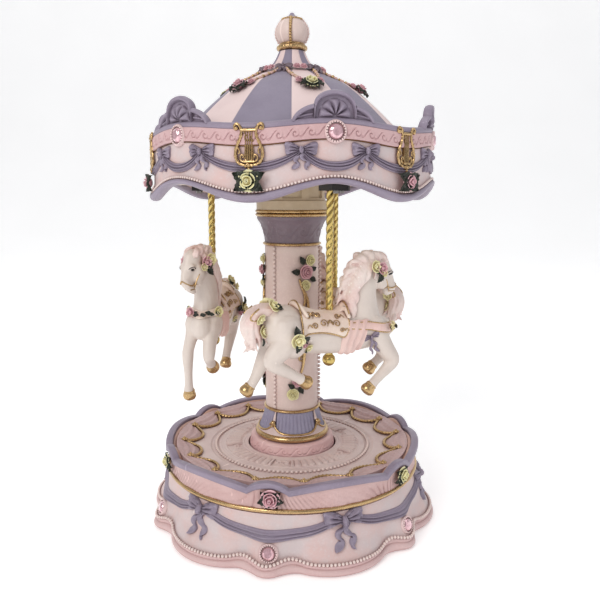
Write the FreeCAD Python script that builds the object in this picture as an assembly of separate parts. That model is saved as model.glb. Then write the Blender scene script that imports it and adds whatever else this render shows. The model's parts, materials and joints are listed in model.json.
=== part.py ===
import FreeCAD, Part
import math
import os
from FreeCAD import Vector, Rotation, Placement

# Musical carousel: resin base with a wind-up movement, a fixed column, and a six-panel canopy that
# the movement turns. Three horses hang on poles from the canopy and bob as they go round.
# Millimetres, +Z up, origin on the axis at the surface it stands on.
# A bearing is the angle round the axis in degrees, from -Y towards +X.

# --- driving dimensions -------------------------------------------------------------------------
TOTAL_HEIGHT = 290.0
PANELS = 6
STEP = 360.0 / PANELS

# base
LOBE_BEARING = -9.4
LOBE_HALF_ANGLE = 8.3
PANEL_BEARING = LOBE_BEARING + STEP / 2
FELT_TOP = 0.8
SHELL_TOP = 30.0
SHELL_TOP_RADIUS = 74.0
CAVITY_RADIUS = 67.5
# height, radius mid-panel, radius at the cusps, radius at the small lobes
SHELL_SECTIONS = [
    (FELT_TOP, 87.2, 77.4, 86.0),
    (4.0, 86.7, 76.9, 85.6),
    (6.2, 83.8, 76.2, 83.7),
    (9.0, 82.2, 76.0, 82.2),
    (14.7, 78.2, 75.3, 79.9),
    (22.0, 76.6, 74.8, 76.4),
    (SHELL_TOP, SHELL_TOP_RADIUS, SHELL_TOP_RADIUS, SHELL_TOP_RADIUS),
]
JEWEL_HEIGHT = 12.4
BASE_BOW_HEIGHT = 26.0

# gallery round the deck
GALLERY_RADIUS = 75.0
RIM_CUSP_TOP = 44.2
RIM_LOBE_TOP = 48.0
RIM_PANEL_TOP = 47.3
RIM_THICKNESS = 4.2
RIM_INNER_RADIUS = 71.6
RIM_OUTER_RADIUS = 76.6
ROSE_HEIGHT = 38.8

# deck
DECK_BOTTOM = 38.0
DECK_TOP = 41.0
DECK_HOLE_RADIUS = 26.6
PEARL_RING_RADIUS = 46.0
DRAPES = 16
FIRST_DRAPE_BEARING = -5.75
DRAPE_RADIUS = 17.6
DRAPE_CENTRE_RADIUS = 75.2

# column
COLUMN_BORE = 12.0
SHAFT_BOTTOM = 65.3
SHAFT_TOP = 161.6
SHAFT_RADIUS = 16.0
CAPITAL_TOP = 178.0
HOUSING_BOTTOM = 182.0
HOUSING_TOP = 199.0
PEARL_STRING_BEARINGS = [-38.0, 82.0, 202.0]
VINE_BEARINGS = [24.0, 144.0, 264.0]

# canopy
CORNER_BEARING = -15.2
FASCIA_BEARING = CORNER_BEARING + STEP / 2
FASCIA_INNER = 75.0
FASCIA_RADIUS = 77.8
LIP_RADIUS = 80.6
LIP_CORNER_BOTTOM = 186.8
LIP_PANEL_BOTTOM = 194.0
LIP_DEPTH = 4.2
FASCIA_TOP = 225.0
CREST_TOP = 237.3
CREST_RADIUS = 13.5
BAND_JEWEL_HEIGHT = 219.3
CORNER_ROSE_HEIGHT = 197.4
SWAG_BOW_ANGLE = 12.5
SWAG_BOW_HEIGHT = 212.0
CEILING_BOTTOM = 196.0
CEILING_TOP = 198.0
CEILING_HOLE = 22.0
GUIDE_BOTTOM = 192.5
GUIDE_SCREW_RADIUS = 54.5
LYRE_BOTTOM = 202.7
LYRE_TOP = 222.0
# roof outline from the gutter up to the neck, radius and height
ROOF_OUTLINE = [(74.6, 210.0), (66.0, 218.5), (58.5, 226.7), (46.0, 239.0), (33.7, 249.0),
                (24.0, 253.7), (16.0, 257.7), (12.0, 261.0), (9.2, 265.0), (7.3, 269.0)]
ROOF_UNDERSIDE = [(74.6, 206.4), (64.6, 216.4), (56.6, 225.0), (44.3, 236.9), (32.3, 246.5),
                  (22.8, 251.2), (14.0, 255.6)]
FINIAL_RING_TOP = 273.0

# horses and their poles
HORSE_BEARINGS = [24.5, 144.5, 264.5]
POLE_CIRCLE = 47.5
POLE_RADIUS = 2.1
POLE_TOP = 219.0
POLE_BALL_RADIUS = 3.5
POLE_BALL_HEIGHT = 103.4
SADDLE_HEIGHT = 127.4
HORSE_TRAVEL = 10.0

# cam that lifts the horses: three valleys, one under each follower at rest
CAM_INNER = 23.0
CAM_OUTER = 27.0
CAM_VALLEY = 204.0
CAM_PEAK = CAM_VALLEY + HORSE_TRAVEL
CAM_TO_ROLLER = 0.4
ROLLER_RADIUS = 3.3
ROLLER_WIDTH = 4.0

# musical movement
RUNNING = 0.05
DRIVE_RADIUS = 2.0
MODULE = 0.6
DRUM_TEETH = 72
PINION_TEETH = 18
WHEEL_TEETH = 48
FLY_TEETH = 12
BACKLASH = 0.12
BASE_PLATE_BOTTOM = 9.0
BASE_PLATE_TOP = 11.5
MOVEMENT_TOP = 13.5
BRIDGE_BOTTOM = 30.5
BRIDGE_TOP = 32.5
KEY_RADIUS = 1.8
CYLINDER_X = MODULE * (DRUM_TEETH + PINION_TEETH) / 2
FLY_Y = MODULE * (WHEEL_TEETH + FLY_TEETH) / 2
AXLE_RADIUS = 1.0
FLY_AXLE_RADIUS = 0.6
BARREL_RADIUS = 6.0
COMB_TEETH = 14
TOOTH_PITCH = 0.72
FIRST_TOOTH = 17.2
SCREW_HEAD_HEIGHT = 1.4
PLATE_SCREWS = [(-12.0, -20.0), (-12.0, 22.0), (40.0, -20.0), (40.0, 25.0)]
BRIDGE_POSTS = [(-18.0, -20.0), (-18.0, 22.0), (44.0, -16.0)]

Z_AXIS = Vector(0, 0, 1)
ORIGIN = Vector(0, 0, 0)


# --- building blocks ----------------------------------------------------------------------------
def polar(radius, bearing, z=0.0):
    """Point at a radius and a bearing."""
    angle = math.radians(bearing)
    return Vector(radius * math.sin(angle), -radius * math.cos(angle), z)


def turned(shape, bearing):
    """Copy turned round the axis by a bearing."""
    copy = shape.copy()
    copy.rotate(ORIGIN, Z_AXIS, bearing)
    return copy


def ring_of(shape, count=PANELS, first=0.0):
    """Equally spaced copies round the axis."""
    return [turned(shape, first + i * 360.0 / count) for i in range(count)]


def group(shapes):
    """All the solids of several shapes, kept separate."""
    return Part.makeCompound([solid for shape in shapes for solid in shape.Solids])


def fused(shapes):
    """Several overlapping shapes as one solid."""
    return shapes[0].multiFuse(shapes[1:]).removeSplitter()


def lathe(points):
    """Solid of revolution from a closed outline of radius and height."""
    corners = [Vector(r, 0, z) for r, z in points]
    face = Part.Face(Part.makePolygon(corners + corners[:1]))
    return face.revolve(ORIGIN, Z_AXIS, 360)


def tube(inner, outer, bottom, top):
    """Plain ring between two radii and two heights."""
    return lathe([(inner, bottom), (outer, bottom), (outer, top), (inner, top)])


def rod(radius, bottom, top, x=0.0, y=0.0):
    """Upright cylinder between two heights."""
    return Part.makeCylinder(radius, top - bottom, Vector(x, y, bottom))


def plate(x0, x1, y0, y1, z0, z1):
    """Box between two values on each axis."""
    return Part.makeBox(x1 - x0, y1 - y0, z1 - z0, Vector(x0, y0, z0))


def sector(first, last, bottom, top, reach=130.0):
    """Wedge between two bearings, less than 120 degrees apart."""
    middle = (first + last) / 2
    corners = [Vector(0, 0, bottom)] + [polar(reach, b, bottom) for b in (first, middle, last)]
    return Part.Face(Part.makePolygon(corners + corners[:1])).extrude(Vector(0, 0, top - bottom))


def facing_disc(radius, x, z, near, far):
    """Cylinder whose axis points outwards at bearing 0, from radius near to radius far."""
    return Part.makeCylinder(radius, far - near, Vector(x, -near, z), Vector(0, -1, 0))


def facing_prism(points, near, far):
    """Outline in the tangent plane at bearing 0, drawn outwards from radius near to radius far."""
    corners = [Vector(x, -near, z) for x, z in points]
    return Part.Face(Part.makePolygon(corners + corners[:1])).extrude(Vector(0, near - far, 0))


def lens(length, width, x, z, tilt, near, far):
    """Leaf outline: two arcs that meet in two points, drawn outwards."""
    radius = (length ** 2 + width ** 2) / (4 * width)
    shift = radius - width / 2
    upper = facing_disc(radius, 0, -shift, near, far)
    lower = facing_disc(radius, 0, shift, near, far)
    leaf = upper.common(lower)
    leaf.rotate(ORIGIN, Vector(0, 1, 0), tilt)
    leaf.translate(Vector(x, 0, z))
    return leaf


def tapered_rod(start, end, start_radius, end_radius):
    """Round-ended limb between two points, as one turned solid."""
    axis = end.sub(start)
    length = axis.Length
    lean = (start_radius - end_radius) / length
    rise = math.sqrt(1 - lean ** 2)
    low = Vector(start_radius * rise, 0, start_radius * lean)
    high = Vector(end_radius * rise, 0, length + end_radius * lean)
    turn_low = math.asin(lean)
    low_mid = (turn_low - math.pi / 2) / 2
    high_mid = (turn_low + math.pi / 2) / 2
    low_arc = Part.Arc(Vector(0, 0, -start_radius),
                       Vector(start_radius * math.cos(low_mid), 0, start_radius * math.sin(low_mid)), low)
    high_arc = Part.Arc(high, Vector(end_radius * math.cos(high_mid), 0,
                                     length + end_radius * math.sin(high_mid)),
                        Vector(0, 0, length + end_radius))
    edges = [low_arc.toShape(), Part.LineSegment(low, high).toShape(), high_arc.toShape(),
             Part.LineSegment(Vector(0, 0, length + end_radius), Vector(0, 0, -start_radius)).toShape()]
    limb = Part.Face(Part.Wire(edges)).revolve(ORIGIN, Z_AXIS, 360)
    limb.Placement = Placement(start, Rotation(Z_AXIS, axis))
    return limb


def screw(x, y, head_bottom, length, head_radius=2.4, shank_radius=1.2, head_up=True):
    """Pan-head screw with a cross slot; the shank runs away from the head."""
    head_top = head_bottom + SCREW_HEAD_HEIGHT
    head = rod(head_radius, head_bottom, head_top, x, y)
    if head_up:
        shank = rod(shank_radius, head_bottom - length, head_bottom, x, y)
        slot_bottom = head_bottom + 0.8
    else:
        shank = rod(shank_radius, head_top, head_top + length, x, y)
        slot_bottom = head_bottom
    slot = plate(x - 1.6, x + 1.6, y - 0.25, y + 0.25, slot_bottom, slot_bottom + 0.6)
    cross = plate(x - 0.25, x + 0.25, y - 1.6, y + 1.6, slot_bottom, slot_bottom + 0.6)
    return head.fuse(shank).cut(slot).cut(cross)


def gear(teeth, bottom, top, x=0.0, y=0.0, phase=0.0):
    """Involute spur gear of MODULE; one tooth points at phase degrees from +X."""
    pitch = MODULE * teeth / 2
    base = pitch * math.cos(math.radians(20))
    tip = pitch + 0.85 * MODULE
    root = pitch - 1.15 * MODULE

    def involute(radius):
        turn = math.sqrt(max((radius / base) ** 2 - 1, 0))
        return turn - math.atan(turn)

    half_pitch = math.pi / (2 * teeth) - BACKLASH / (2 * pitch)
    half_base = half_pitch + involute(pitch)
    start = max(base, root)
    flank = [start + (tip - start) * i / 3 for i in range(4)]
    corners = []
    for i in range(teeth):
        centre = math.radians(phase) + 2 * math.pi * i / teeth
        side = [(root, half_base - involute(start))]
        side += [(r, half_base - involute(r)) for r in flank if r > root]
        for radius, half in side:
            corners.append((radius, centre - half))
        for radius, half in reversed(side):
            corners.append((radius, centre + half))
    points = [Vector(x + r * math.cos(a), y + r * math.sin(a), bottom) for r, a in corners]
    return Part.Face(Part.makePolygon(points + points[:1])).extrude(Vector(0, 0, top - bottom))


# --- base ---------------------------------------------------------------------------------------
def scalloped_wire(z, mid, cusp, lobe):
    """Outline of the foot at one height: a wide arc for each panel and a small one for each lobe."""
    arcs = []
    for i in range(PANELS):
        centre = LOBE_BEARING + i * STEP
        before = polar(cusp, centre - LOBE_HALF_ANGLE, z)
        after = polar(cusp, centre + LOBE_HALF_ANGLE, z)
        following = polar(cusp, centre + STEP - LOBE_HALF_ANGLE, z)
        arcs.append(Part.Arc(before, polar(lobe, centre, z), after).toShape())
        arcs.append(Part.Arc(after, polar(mid, centre + STEP / 2, z), following).toShape())
    return Part.Wire(arcs)


def base_shell():
    """Hollow base, lofted from its scalloped foot to its round top."""
    wires = [scalloped_wire(*section) for section in SHELL_SECTIONS]
    body = Part.makeLoft(wires, True, True)
    return body.cut(rod(CAVITY_RADIUS, -1, SHELL_TOP + 1))


def base_plate():
    """Disc across the base that carries the movement."""
    disc = rod(CAVITY_RADIUS, BASE_PLATE_BOTTOM, BASE_PLATE_TOP)
    disc = disc.cut(rod(4.0, 0, 20))
    for x, y in PLATE_SCREWS:
        disc = disc.cut(rod(1.2, 0, 20, x, y))
    return disc


def screws():
    """Screws up through the base plate and down into the bridge posts."""
    up = [screw(x, y, BASE_PLATE_BOTTOM - SCREW_HEAD_HEIGHT, 4.3, head_up=False) for x, y in PLATE_SCREWS]
    posts = [screw(x, y, BRIDGE_TOP, 4.0) for x, y in BRIDGE_POSTS]
    return group(up + posts)


def trim_ring():
    """Gilt line between the base and the pleated band."""
    return tube(SHELL_TOP_RADIUS, SHELL_TOP_RADIUS + 1.4, SHELL_TOP, SHELL_TOP + 1.2)


def rim_arc(half_chord, crown, cusp):
    """Radius and centre height of the arc that rises from the cusps to the crown."""
    rise = crown - cusp
    radius = (half_chord ** 2 + rise ** 2) / (2 * rise)
    return radius, crown - radius


def rim_sectors():
    """Half angle, centre bearing, arc radius and arc centre height of a lobe and of a panel."""
    panel_half = STEP / 2 - LOBE_HALF_ANGLE
    lobe_chord = GALLERY_RADIUS * math.sin(math.radians(LOBE_HALF_ANGLE))
    panel_chord = GALLERY_RADIUS * math.sin(math.radians(panel_half))
    lobe = rim_arc(lobe_chord, RIM_LOBE_TOP, RIM_CUSP_TOP)
    panel = rim_arc(panel_chord, RIM_PANEL_TOP, RIM_CUSP_TOP)
    return [(LOBE_HALF_ANGLE, LOBE_BEARING, *lobe), (panel_half, PANEL_BEARING, *panel)]


def gallery():
    """The pleated band and the thick rim that rises and falls on top of it."""
    split = RIM_CUSP_TOP - RIM_THICKNESS
    band_ring = tube(CAVITY_RADIUS, GALLERY_RADIUS, split, 60)
    rim_ring = tube(RIM_INNER_RADIUS, RIM_OUTER_RADIUS, split, 60)
    inner_ring = tube(CAVITY_RADIUS, RIM_INNER_RADIUS, split, 60)
    band_parts = [lathe([(CAVITY_RADIUS, SHELL_TOP), (SHELL_TOP_RADIUS, SHELL_TOP),
                         (SHELL_TOP_RADIUS, SHELL_TOP + 1.2), (GALLERY_RADIUS, split),
                         (CAVITY_RADIUS, split)])]
    rim_parts = []
    for half, bearing, radius, centre in rim_sectors():
        wedge = sector(-half, half, split, 60)
        outer = facing_disc(radius, 0, centre, 40, 90)
        inner = facing_disc(radius - RIM_THICKNESS, 0, centre, 40, 90)
        crown = rim_ring.common(wedge).common(outer).cut(inner)
        fill = band_ring.common(wedge).common(inner)
        back = inner_ring.common(wedge).common(outer).cut(inner)
        for i in range(PANELS):
            rim_parts += turned(crown, bearing + i * STEP).Solids
            band_parts += turned(fill, bearing + i * STEP).Solids
            band_parts += turned(back, bearing + i * STEP).Solids
    return fused(band_parts), fused(rim_parts)


def deck_plate():
    """Fixed deck with a shallow groove for the pearls."""
    return lathe([(DECK_HOLE_RADIUS, DECK_BOTTOM), (CAVITY_RADIUS, DECK_BOTTOM), (CAVITY_RADIUS, DECK_TOP),
                  (49.5, DECK_TOP), (49.0, DECK_TOP - 0.6), (44.0, DECK_TOP - 0.6), (43.5, DECK_TOP - 0.2),
                  (42.0, DECK_TOP - 0.2), (41.5, DECK_TOP), (29.0, DECK_TOP), (28.0, DECK_TOP + 0.4),
                  (DECK_HOLE_RADIUS, DECK_TOP + 0.4)])


def deck_pearls():
    """Ring of pearls seated in the groove, as one bead line."""
    floor = DECK_TOP - 0.6
    beads = Part.makeTorus(PEARL_RING_RADIUS, 0.9, Vector(0, 0, floor + 0.3))
    return beads.cut(rod(60, floor - 5, floor))


def scallop_discs(radius, bottom, top):
    """Ring of overlapping discs that gives the drapes their scalloped edge."""
    disc = Part.makeCylinder(radius, top - bottom, polar(DRAPE_CENTRE_RADIUS, 0, bottom))
    return fused(ring_of(disc, DRAPES, FIRST_DRAPE_BEARING))


def deck_drapes():
    """Cloth that slopes from the gallery down to the deck in scallops."""
    cloth = lathe([(56.0, DECK_TOP), (CAVITY_RADIUS, DECK_TOP), (CAVITY_RADIUS, DECK_TOP + 3.2),
                   (56.0, DECK_TOP + 1.0)])
    return cloth.common(scallop_discs(DRAPE_RADIUS, DECK_TOP, DECK_TOP + 6))


def deck_rope():
    """Gilt rope along the scalloped edge of the cloth."""
    ring = tube(55.0, CAVITY_RADIUS, DECK_TOP, DECK_TOP + 1.4)
    outer = scallop_discs(DRAPE_RADIUS + 1.1, DECK_TOP, DECK_TOP + 6)
    inner = scallop_discs(DRAPE_RADIUS, DECK_TOP - 1, DECK_TOP + 7)
    return ring.common(outer).cut(inner)


def bow(x, z, near, far, size=8.5, tail=15.0):
    """Ribbon bow: two loops, a knot and two hanging tails."""
    loops = [lens(size, size * 0.62, x - size * 0.48, z + 0.6, 12, near, far),
             lens(size, size * 0.62, x + size * 0.48, z + 0.6, -12, near, far)]
    knot = facing_disc(size * 0.2, x, z, near, far + 0.4)
    tails = [facing_prism([(x - 0.6, z), (x + 0.6, z), (x + side * size * 0.42 + 1.3, z - tail),
                           (x + side * size * 0.42 - 1.3, z - tail)], near, far - 0.3)
             for side in (-1, 1)]
    return fused(loops + [knot] + tails)


def hanging_band(half_chord, high, low, width, near, far):
    """Ribbon that hangs between two points at the same height, as a slice of a radial ring."""
    sag = high - low
    radius = (half_chord ** 2 + sag ** 2) / (2 * sag)
    ring = facing_disc(radius, 0, low + radius, near, far).cut(
        facing_disc(radius - width, 0, low + radius, near - 1, far + 1))
    return ring.common(plate(-half_chord, half_chord, -far, -near, low - 1, high))


def base_swags(shell):
    """Ribbon that hangs across each small lobe from a bow on each panel."""
    panel_bow = turned(bow(0, BASE_BOW_HEIGHT, 70, 79.5), PANEL_BEARING)
    chord = 73.0 * math.sin(math.radians(STEP / 2 - 3))
    drape = turned(hanging_band(chord, BASE_BOW_HEIGHT, 19.0, 3.6, 60, 79.0), LOBE_BEARING)
    piece = fused([panel_bow, drape, turned(drape, STEP)])
    wedge = sector(LOBE_BEARING, LOBE_BEARING + STEP, 0, 60)
    skin = rod(79.4, 0, SHELL_TOP - 0.5)
    half = piece.common(wedge).common(skin).cut(shell).cut(rod(SHELL_TOP_RADIUS, 0, 60))
    return group(ring_of(half))


def rose(radius, reach, z, near):
    """Round bloom on a short stalk that is seated in the surface behind it."""
    bloom = Part.makeSphere(radius, Vector(0, -reach, z))
    return bloom.fuse(facing_disc(radius * 0.5, 0, z, near, reach))


def base_roses(hosts):
    """Rose on each small lobe of the pleated band."""
    bloom = rose(3.9, 76.2, ROSE_HEIGHT, 72)
    bloom = turned(bloom, LOBE_BEARING)
    for host in hosts:
        bloom = bloom.cut(host)
    return group(ring_of(bloom))


def base_leaves(hosts):
    """Four leaves behind each rose of the base."""
    leaves = [lens(9.5, 5.0, side * 5.6, ROSE_HEIGHT - 1.6, side * 14, 72, 78.2) for side in (-1, 1)]
    leaves += [lens(7.0, 4.2, side * 4.0, ROSE_HEIGHT + 2.6, side * -30, 72, 77.8) for side in (-1, 1)]
    spray = turned(fused(leaves), LOBE_BEARING)
    for host in hosts:
        spray = spray.cut(host)
    return group(ring_of(spray))


def jewel_setting(radius, reach, z, near, host_solids, bearing):
    """Round cup that holds a stone, cut clear of the parts it is set in."""
    cup = facing_disc(radius, 0, z, near, reach).cut(facing_disc(radius - 1.1, 0, z, near - 1, reach + 1))
    cup = turned(cup, bearing)
    for host in host_solids:
        cup = cup.cut(host)
    return cup


def jewel(radius, reach, z, near, host_solids, bearing):
    """Round stone with a bevelled crown."""
    girdle = facing_disc(radius, 0, z, near, reach - 1.0)
    crown = Part.makeCone(radius, radius * 0.6, 1.6, Vector(0, -(reach - 1.0), z), Vector(0, -1, 0))
    stone = turned(girdle.fuse(crown), bearing)
    for host in host_solids:
        stone = stone.cut(host)
    return stone


def base_pearls(shell):
    """String of pearls along the top of the foot moulding, as one closed bead line."""
    outer = Part.makeLoft([scalloped_wire(6.3, 85.2, 77.8, 84.9), scalloped_wire(8.1, 85.2, 77.8, 84.9)],
                          True, True)
    inner = Part.makeLoft([scalloped_wire(6.0, 83.2, 76.0, 82.9), scalloped_wire(8.4, 83.2, 76.0, 82.9)],
                          True, True)
    return outer.cut(inner).cut(shell)


# --- column -------------------------------------------------------------------------------------
def column_collar():
    """Carved ring that rises through the deck, with its flange under it."""
    return lathe([(COLUMN_BORE, 35.5), (30.0, 35.5), (30.0, DECK_BOTTOM), (25.9, DECK_BOTTOM),
                  (25.9, 41.8), (25.0, 44.0), (24.6, 46.0), (23.4, 47.0), (COLUMN_BORE, 47.0)])


def column_foot():
    """Fluted cone between the collar and the shaft."""
    return lathe([(COLUMN_BORE, 51.0), (20.5, 51.0), (18.4, 54.0), (17.0, 58.0), (16.0, 63.6),
                  (COLUMN_BORE, 63.6)])


def bead_ring(radius, bottom, top, inner=COLUMN_BORE):
    """Half-round gilt ring."""
    middle = (bottom + top) / 2
    half = (top - bottom) / 2
    return lathe([(inner, bottom), (radius - half, bottom), (radius - half * 0.3, bottom + half * 0.3),
                  (radius, middle), (radius - half * 0.3, top - half * 0.3), (radius - half, top),
                  (inner, top)])


def column_rings():
    """Gilt rings at the foot, the shaft's two ends and the capital."""
    return group([bead_ring(22.3, 47.0, 51.0), bead_ring(17.0, 63.6, SHAFT_BOTTOM),
                  bead_ring(17.1, SHAFT_TOP, SHAFT_TOP + 1.6), bead_ring(21.3, CAPITAL_TOP, 180.0),
                  bead_ring(21.3, 180.0, HOUSING_BOTTOM)])


def column_capital():
    """Flared capital."""
    return lathe([(COLUMN_BORE, SHAFT_TOP + 1.6), (15.9, SHAFT_TOP + 1.6), (16.1, 166.0), (16.9, 170.0),
                  (18.4, 173.5), (20.3, 176.4), (20.5, CAPITAL_TOP), (COLUMN_BORE, CAPITAL_TOP)])


def column_pearls(shaft):
    """Three strings of pearls down the shaft."""
    string = rod(0.9, SHAFT_BOTTOM + 1, SHAFT_TOP - 1, 0, -SHAFT_RADIUS - 0.2).cut(shaft)
    return group([turned(string, bearing) for bearing in PEARL_STRING_BEARINGS])


def column_vines(shaft):
    """Gilt stem with blooms that climbs the shaft; drawn as one relief plaque per vine."""
    stem = facing_prism([(-1.5, 78), (1.6, 86), (0.0, 96), (2.0, 106), (0.4, 118), (-2.2, 118), (-0.6, 106),
                         (-2.4, 96), (-1.0, 86), (-3.2, 78)], 14, SHAFT_RADIUS + 1.5)
    blooms = [Part.makeSphere(r, Vector(x, -SHAFT_RADIUS + 0.2, z))
              for r, x, z in ((2.4, 0.4, 140.5), (1.7, 2.4, 146.0), (1.7, 1.0, 133.5), (2.0, -3.0, 80.0),
                              (1.8, -4.6, 74.5))]
    upper_stem = facing_prism([(-1.4, 117), (-0.2, 117), (0.8, 133), (0.0, 143), (-1.0, 133)], 14,
                              SHAFT_RADIUS + 1.0)
    vine = fused([stem, upper_stem] + blooms).cut(shaft)
    vine = vine.cut(rod(SHAFT_RADIUS - 0.001, 60, 170))
    return group([turned(vine, bearing) for bearing in VINE_BEARINGS])


def cam_housing():
    """Cream cage on the capital, with recessed windows, and the top bearing of the drive shaft."""
    cage = lathe([(COLUMN_BORE, HOUSING_BOTTOM), (20.6, HOUSING_BOTTOM), (20.6, 187.0), (19.4, 187.0),
                  (19.4, HOUSING_TOP), (6.0, HOUSING_TOP), (6.0, 203.0), (DRIVE_RADIUS + RUNNING, 203.0),
                  (DRIVE_RADIUS + RUNNING, HOUSING_TOP - 2), (COLUMN_BORE, HOUSING_TOP - 2)])
    window = tube(18.2, 21.0, 188.4, 195.4).common(sector(-16, 16, 188, 196))
    for opening in ring_of(window, 8):
        cage = cage.cut(opening)
    return cage


def cam_ring():
    """Three-lobed face cam fixed on the cage."""
    floor = HOUSING_TOP + 2
    body = lathe([(8.0, HOUSING_TOP), (CAM_OUTER, HOUSING_TOP), (CAM_OUTER, CAM_PEAK),
                  (CAM_INNER, CAM_PEAK), (CAM_INNER, floor), (8.0, floor)])
    middle = (CAM_INNER + CAM_OUTER) / 2
    chord = middle * math.sin(math.radians(60))
    radius = (chord ** 2 + HORSE_TRAVEL ** 2) / (2 * HORSE_TRAVEL)
    valley = facing_disc(radius, 0, CAM_VALLEY + radius, 5, 40)
    for bearing in HORSE_BEARINGS:
        body = body.cut(turned(valley, bearing))
    return body


# --- musical movement ---------------------------------------------------------------------------
def movement_plate():
    """Lower plate of the movement, with its bearings."""
    slab = plate(-24, 58, -26, 30, BASE_PLATE_TOP, MOVEMENT_TOP)
    slab = slab.cut(rod(KEY_RADIUS + RUNNING, 0, 20))
    slab = slab.cut(rod(AXLE_RADIUS + RUNNING, 0, 20, CYLINDER_X, 0))
    slab = slab.cut(rod(FLY_AXLE_RADIUS + RUNNING, 0, 20, CYLINDER_X, FLY_Y))
    for x, y in PLATE_SCREWS:
        slab = slab.cut(rod(1.2, 0, 20, x, y))
    return slab


def movement_bridge():
    """Top plate of the movement, cast in one with the three posts that carry it."""
    slab = plate(-22, 48, -24, 26, BRIDGE_BOTTOM, BRIDGE_TOP)
    slab = slab.cut(rod(DRIVE_RADIUS + RUNNING, 20, 40))
    slab = slab.cut(rod(AXLE_RADIUS + RUNNING, 20, 40, CYLINDER_X, 0))
    slab = slab.cut(rod(FLY_AXLE_RADIUS + RUNNING, 20, 40, CYLINDER_X, FLY_Y))
    posts = [rod(3.0, MOVEMENT_TOP, BRIDGE_BOTTOM, x, y) for x, y in BRIDGE_POSTS]
    casting = fused([slab] + posts)
    for x, y in BRIDGE_POSTS:
        casting = casting.cut(rod(1.2, BRIDGE_TOP - 4.0, 40, x, y))
    return casting


def comb():
    """Tuned steel comb: its teeth stop just short of the pinned barrel."""
    tip = CYLINDER_X + BARREL_RADIUS + 1.0
    block = plate(50, 56, -4, 4, MOVEMENT_TOP, 28)
    heights = [FIRST_TOOTH + TOOTH_PITCH * i for i in range(COMB_TEETH)]
    teeth = [plate(tip, 50, -0.4, 0.4, height, height + 0.5) for height in heights]
    return fused([block] + teeth)


def tune_pins():
    """Pins of the tune: two to each comb tooth, scattered round the barrel."""
    count = 2 * COMB_TEETH
    pins = []
    for i in range(count):
        angle = math.radians(360 / count * ((i * 11) % count) + 5)
        height = FIRST_TOOTH + 0.25 + TOOTH_PITCH * (i % COMB_TEETH)
        outwards = Vector(math.cos(angle), math.sin(angle), 0)
        start = Vector(CYLINDER_X, 0, height) + outwards * (BARREL_RADIUS - 0.5)
        pins.append(Part.makeCylinder(0.18, 1.1, start, outwards))
    return pins


def music_cylinder():
    """Pinned barrel with the pinion that drives it and the wheel that drives the governor."""
    axle = rod(AXLE_RADIUS, BASE_PLATE_TOP + 0.1, BRIDGE_TOP, CYLINDER_X, 0)
    pinion = gear(PINION_TEETH, 14.1, 16.1, CYLINDER_X, 0, 180.0 / PINION_TEETH)
    barrel = rod(BARREL_RADIUS, 16.9, 27.5, CYLINDER_X, 0)
    wheel = gear(WHEEL_TEETH, 28.1, 29.5, CYLINDER_X, 0, 0)
    spacer = rod(2.2, 16.1, 28.1, CYLINDER_X, 0)
    return fused([axle, pinion, spacer, barrel, wheel] + tune_pins())


def governor():
    """Air brake: a pinion and two vanes on a fine axle."""
    axle = rod(FLY_AXLE_RADIUS, BASE_PLATE_TOP + 0.1, BRIDGE_TOP, CYLINDER_X, FLY_Y)
    pinion = gear(FLY_TEETH, 27.9, 29.7, CYLINDER_X, FLY_Y, 270 + 180.0 / FLY_TEETH)
    vane = plate(CYLINDER_X - 6, CYLINDER_X + 6, FLY_Y - 0.3, FLY_Y + 0.3, 15.5, 26)
    sleeve = rod(1.2, 15.0, 27.9, CYLINDER_X, FLY_Y)
    return fused([axle, pinion, vane, sleeve])


def spring_drum():
    """Closed drum that holds the mainspring, with the first gear of the train at its foot."""
    first_gear = gear(DRUM_TEETH, 14.2, 16.0)
    drum = rod(15.0, 15.9, 24.5).fuse(first_gear)
    drum = drum.cut(rod(14.2, 15.2, 23.6))
    drum = drum.cut(rod(KEY_RADIUS + RUNNING, 14, 16))
    hub = tube(DRIVE_RADIUS, 4.5, 23.5, 27.0)
    return drum.cut(rod(DRIVE_RADIUS, 23, 28)).fuse(hub)


def drive_shaft():
    """Long shaft from the spring drum to the roof, with the collar it rests on."""
    shaft = rod(DRIVE_RADIUS, 23.0, 262.0)
    collar = rod(4.5, 203.3, 206.5)
    return shaft.fuse(collar)


def winding_key():
    """Butterfly key under the base; its stem is the arbor that the mainspring hooks on."""
    stem = rod(KEY_RADIUS, 4.0, 21.5)
    sleeve = rod(3.2, 2.0, 8.4)
    wings = [facing_disc(3.7, x, 4.9, -0.9, 0.9) for x in (-8.0, 8.0)]
    web = plate(-8.0, 8.0, -0.9, 0.9, 3.0, 6.8)
    holes = [facing_disc(1.7, x, 4.9, -2, 2) for x in (-8.0, 8.0)]
    key = fused([stem, sleeve, web] + wings)
    for hole in holes:
        key = key.cut(hole)
    return key


# --- canopy -------------------------------------------------------------------------------------
def lip_arc():
    """Radius and centre height of the arch that the underside follows across one panel."""
    chord = FASCIA_RADIUS * math.sin(math.radians(STEP / 2))
    return rim_arc(chord, LIP_PANEL_BOTTOM, LIP_CORNER_BOTTOM)


def canopy_fascia():
    """Upright ring under the roof, with an arch cut out of its lower edge in each panel."""
    radius, centre = lip_arc()
    ring = tube(FASCIA_INNER, FASCIA_RADIUS, LIP_CORNER_BOTTOM, FASCIA_TOP)
    arch = facing_disc(radius + LIP_DEPTH, 0, centre, 40, 100).common(
        sector(-STEP / 2, STEP / 2, 150, 230))
    inner = tube(FASCIA_INNER - 1, FASCIA_RADIUS + 1, 180, 210)
    cutter = arch.common(inner)
    for piece in ring_of(cutter, first=FASCIA_BEARING):
        ring = ring.cut(piece)
    return ring


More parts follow.
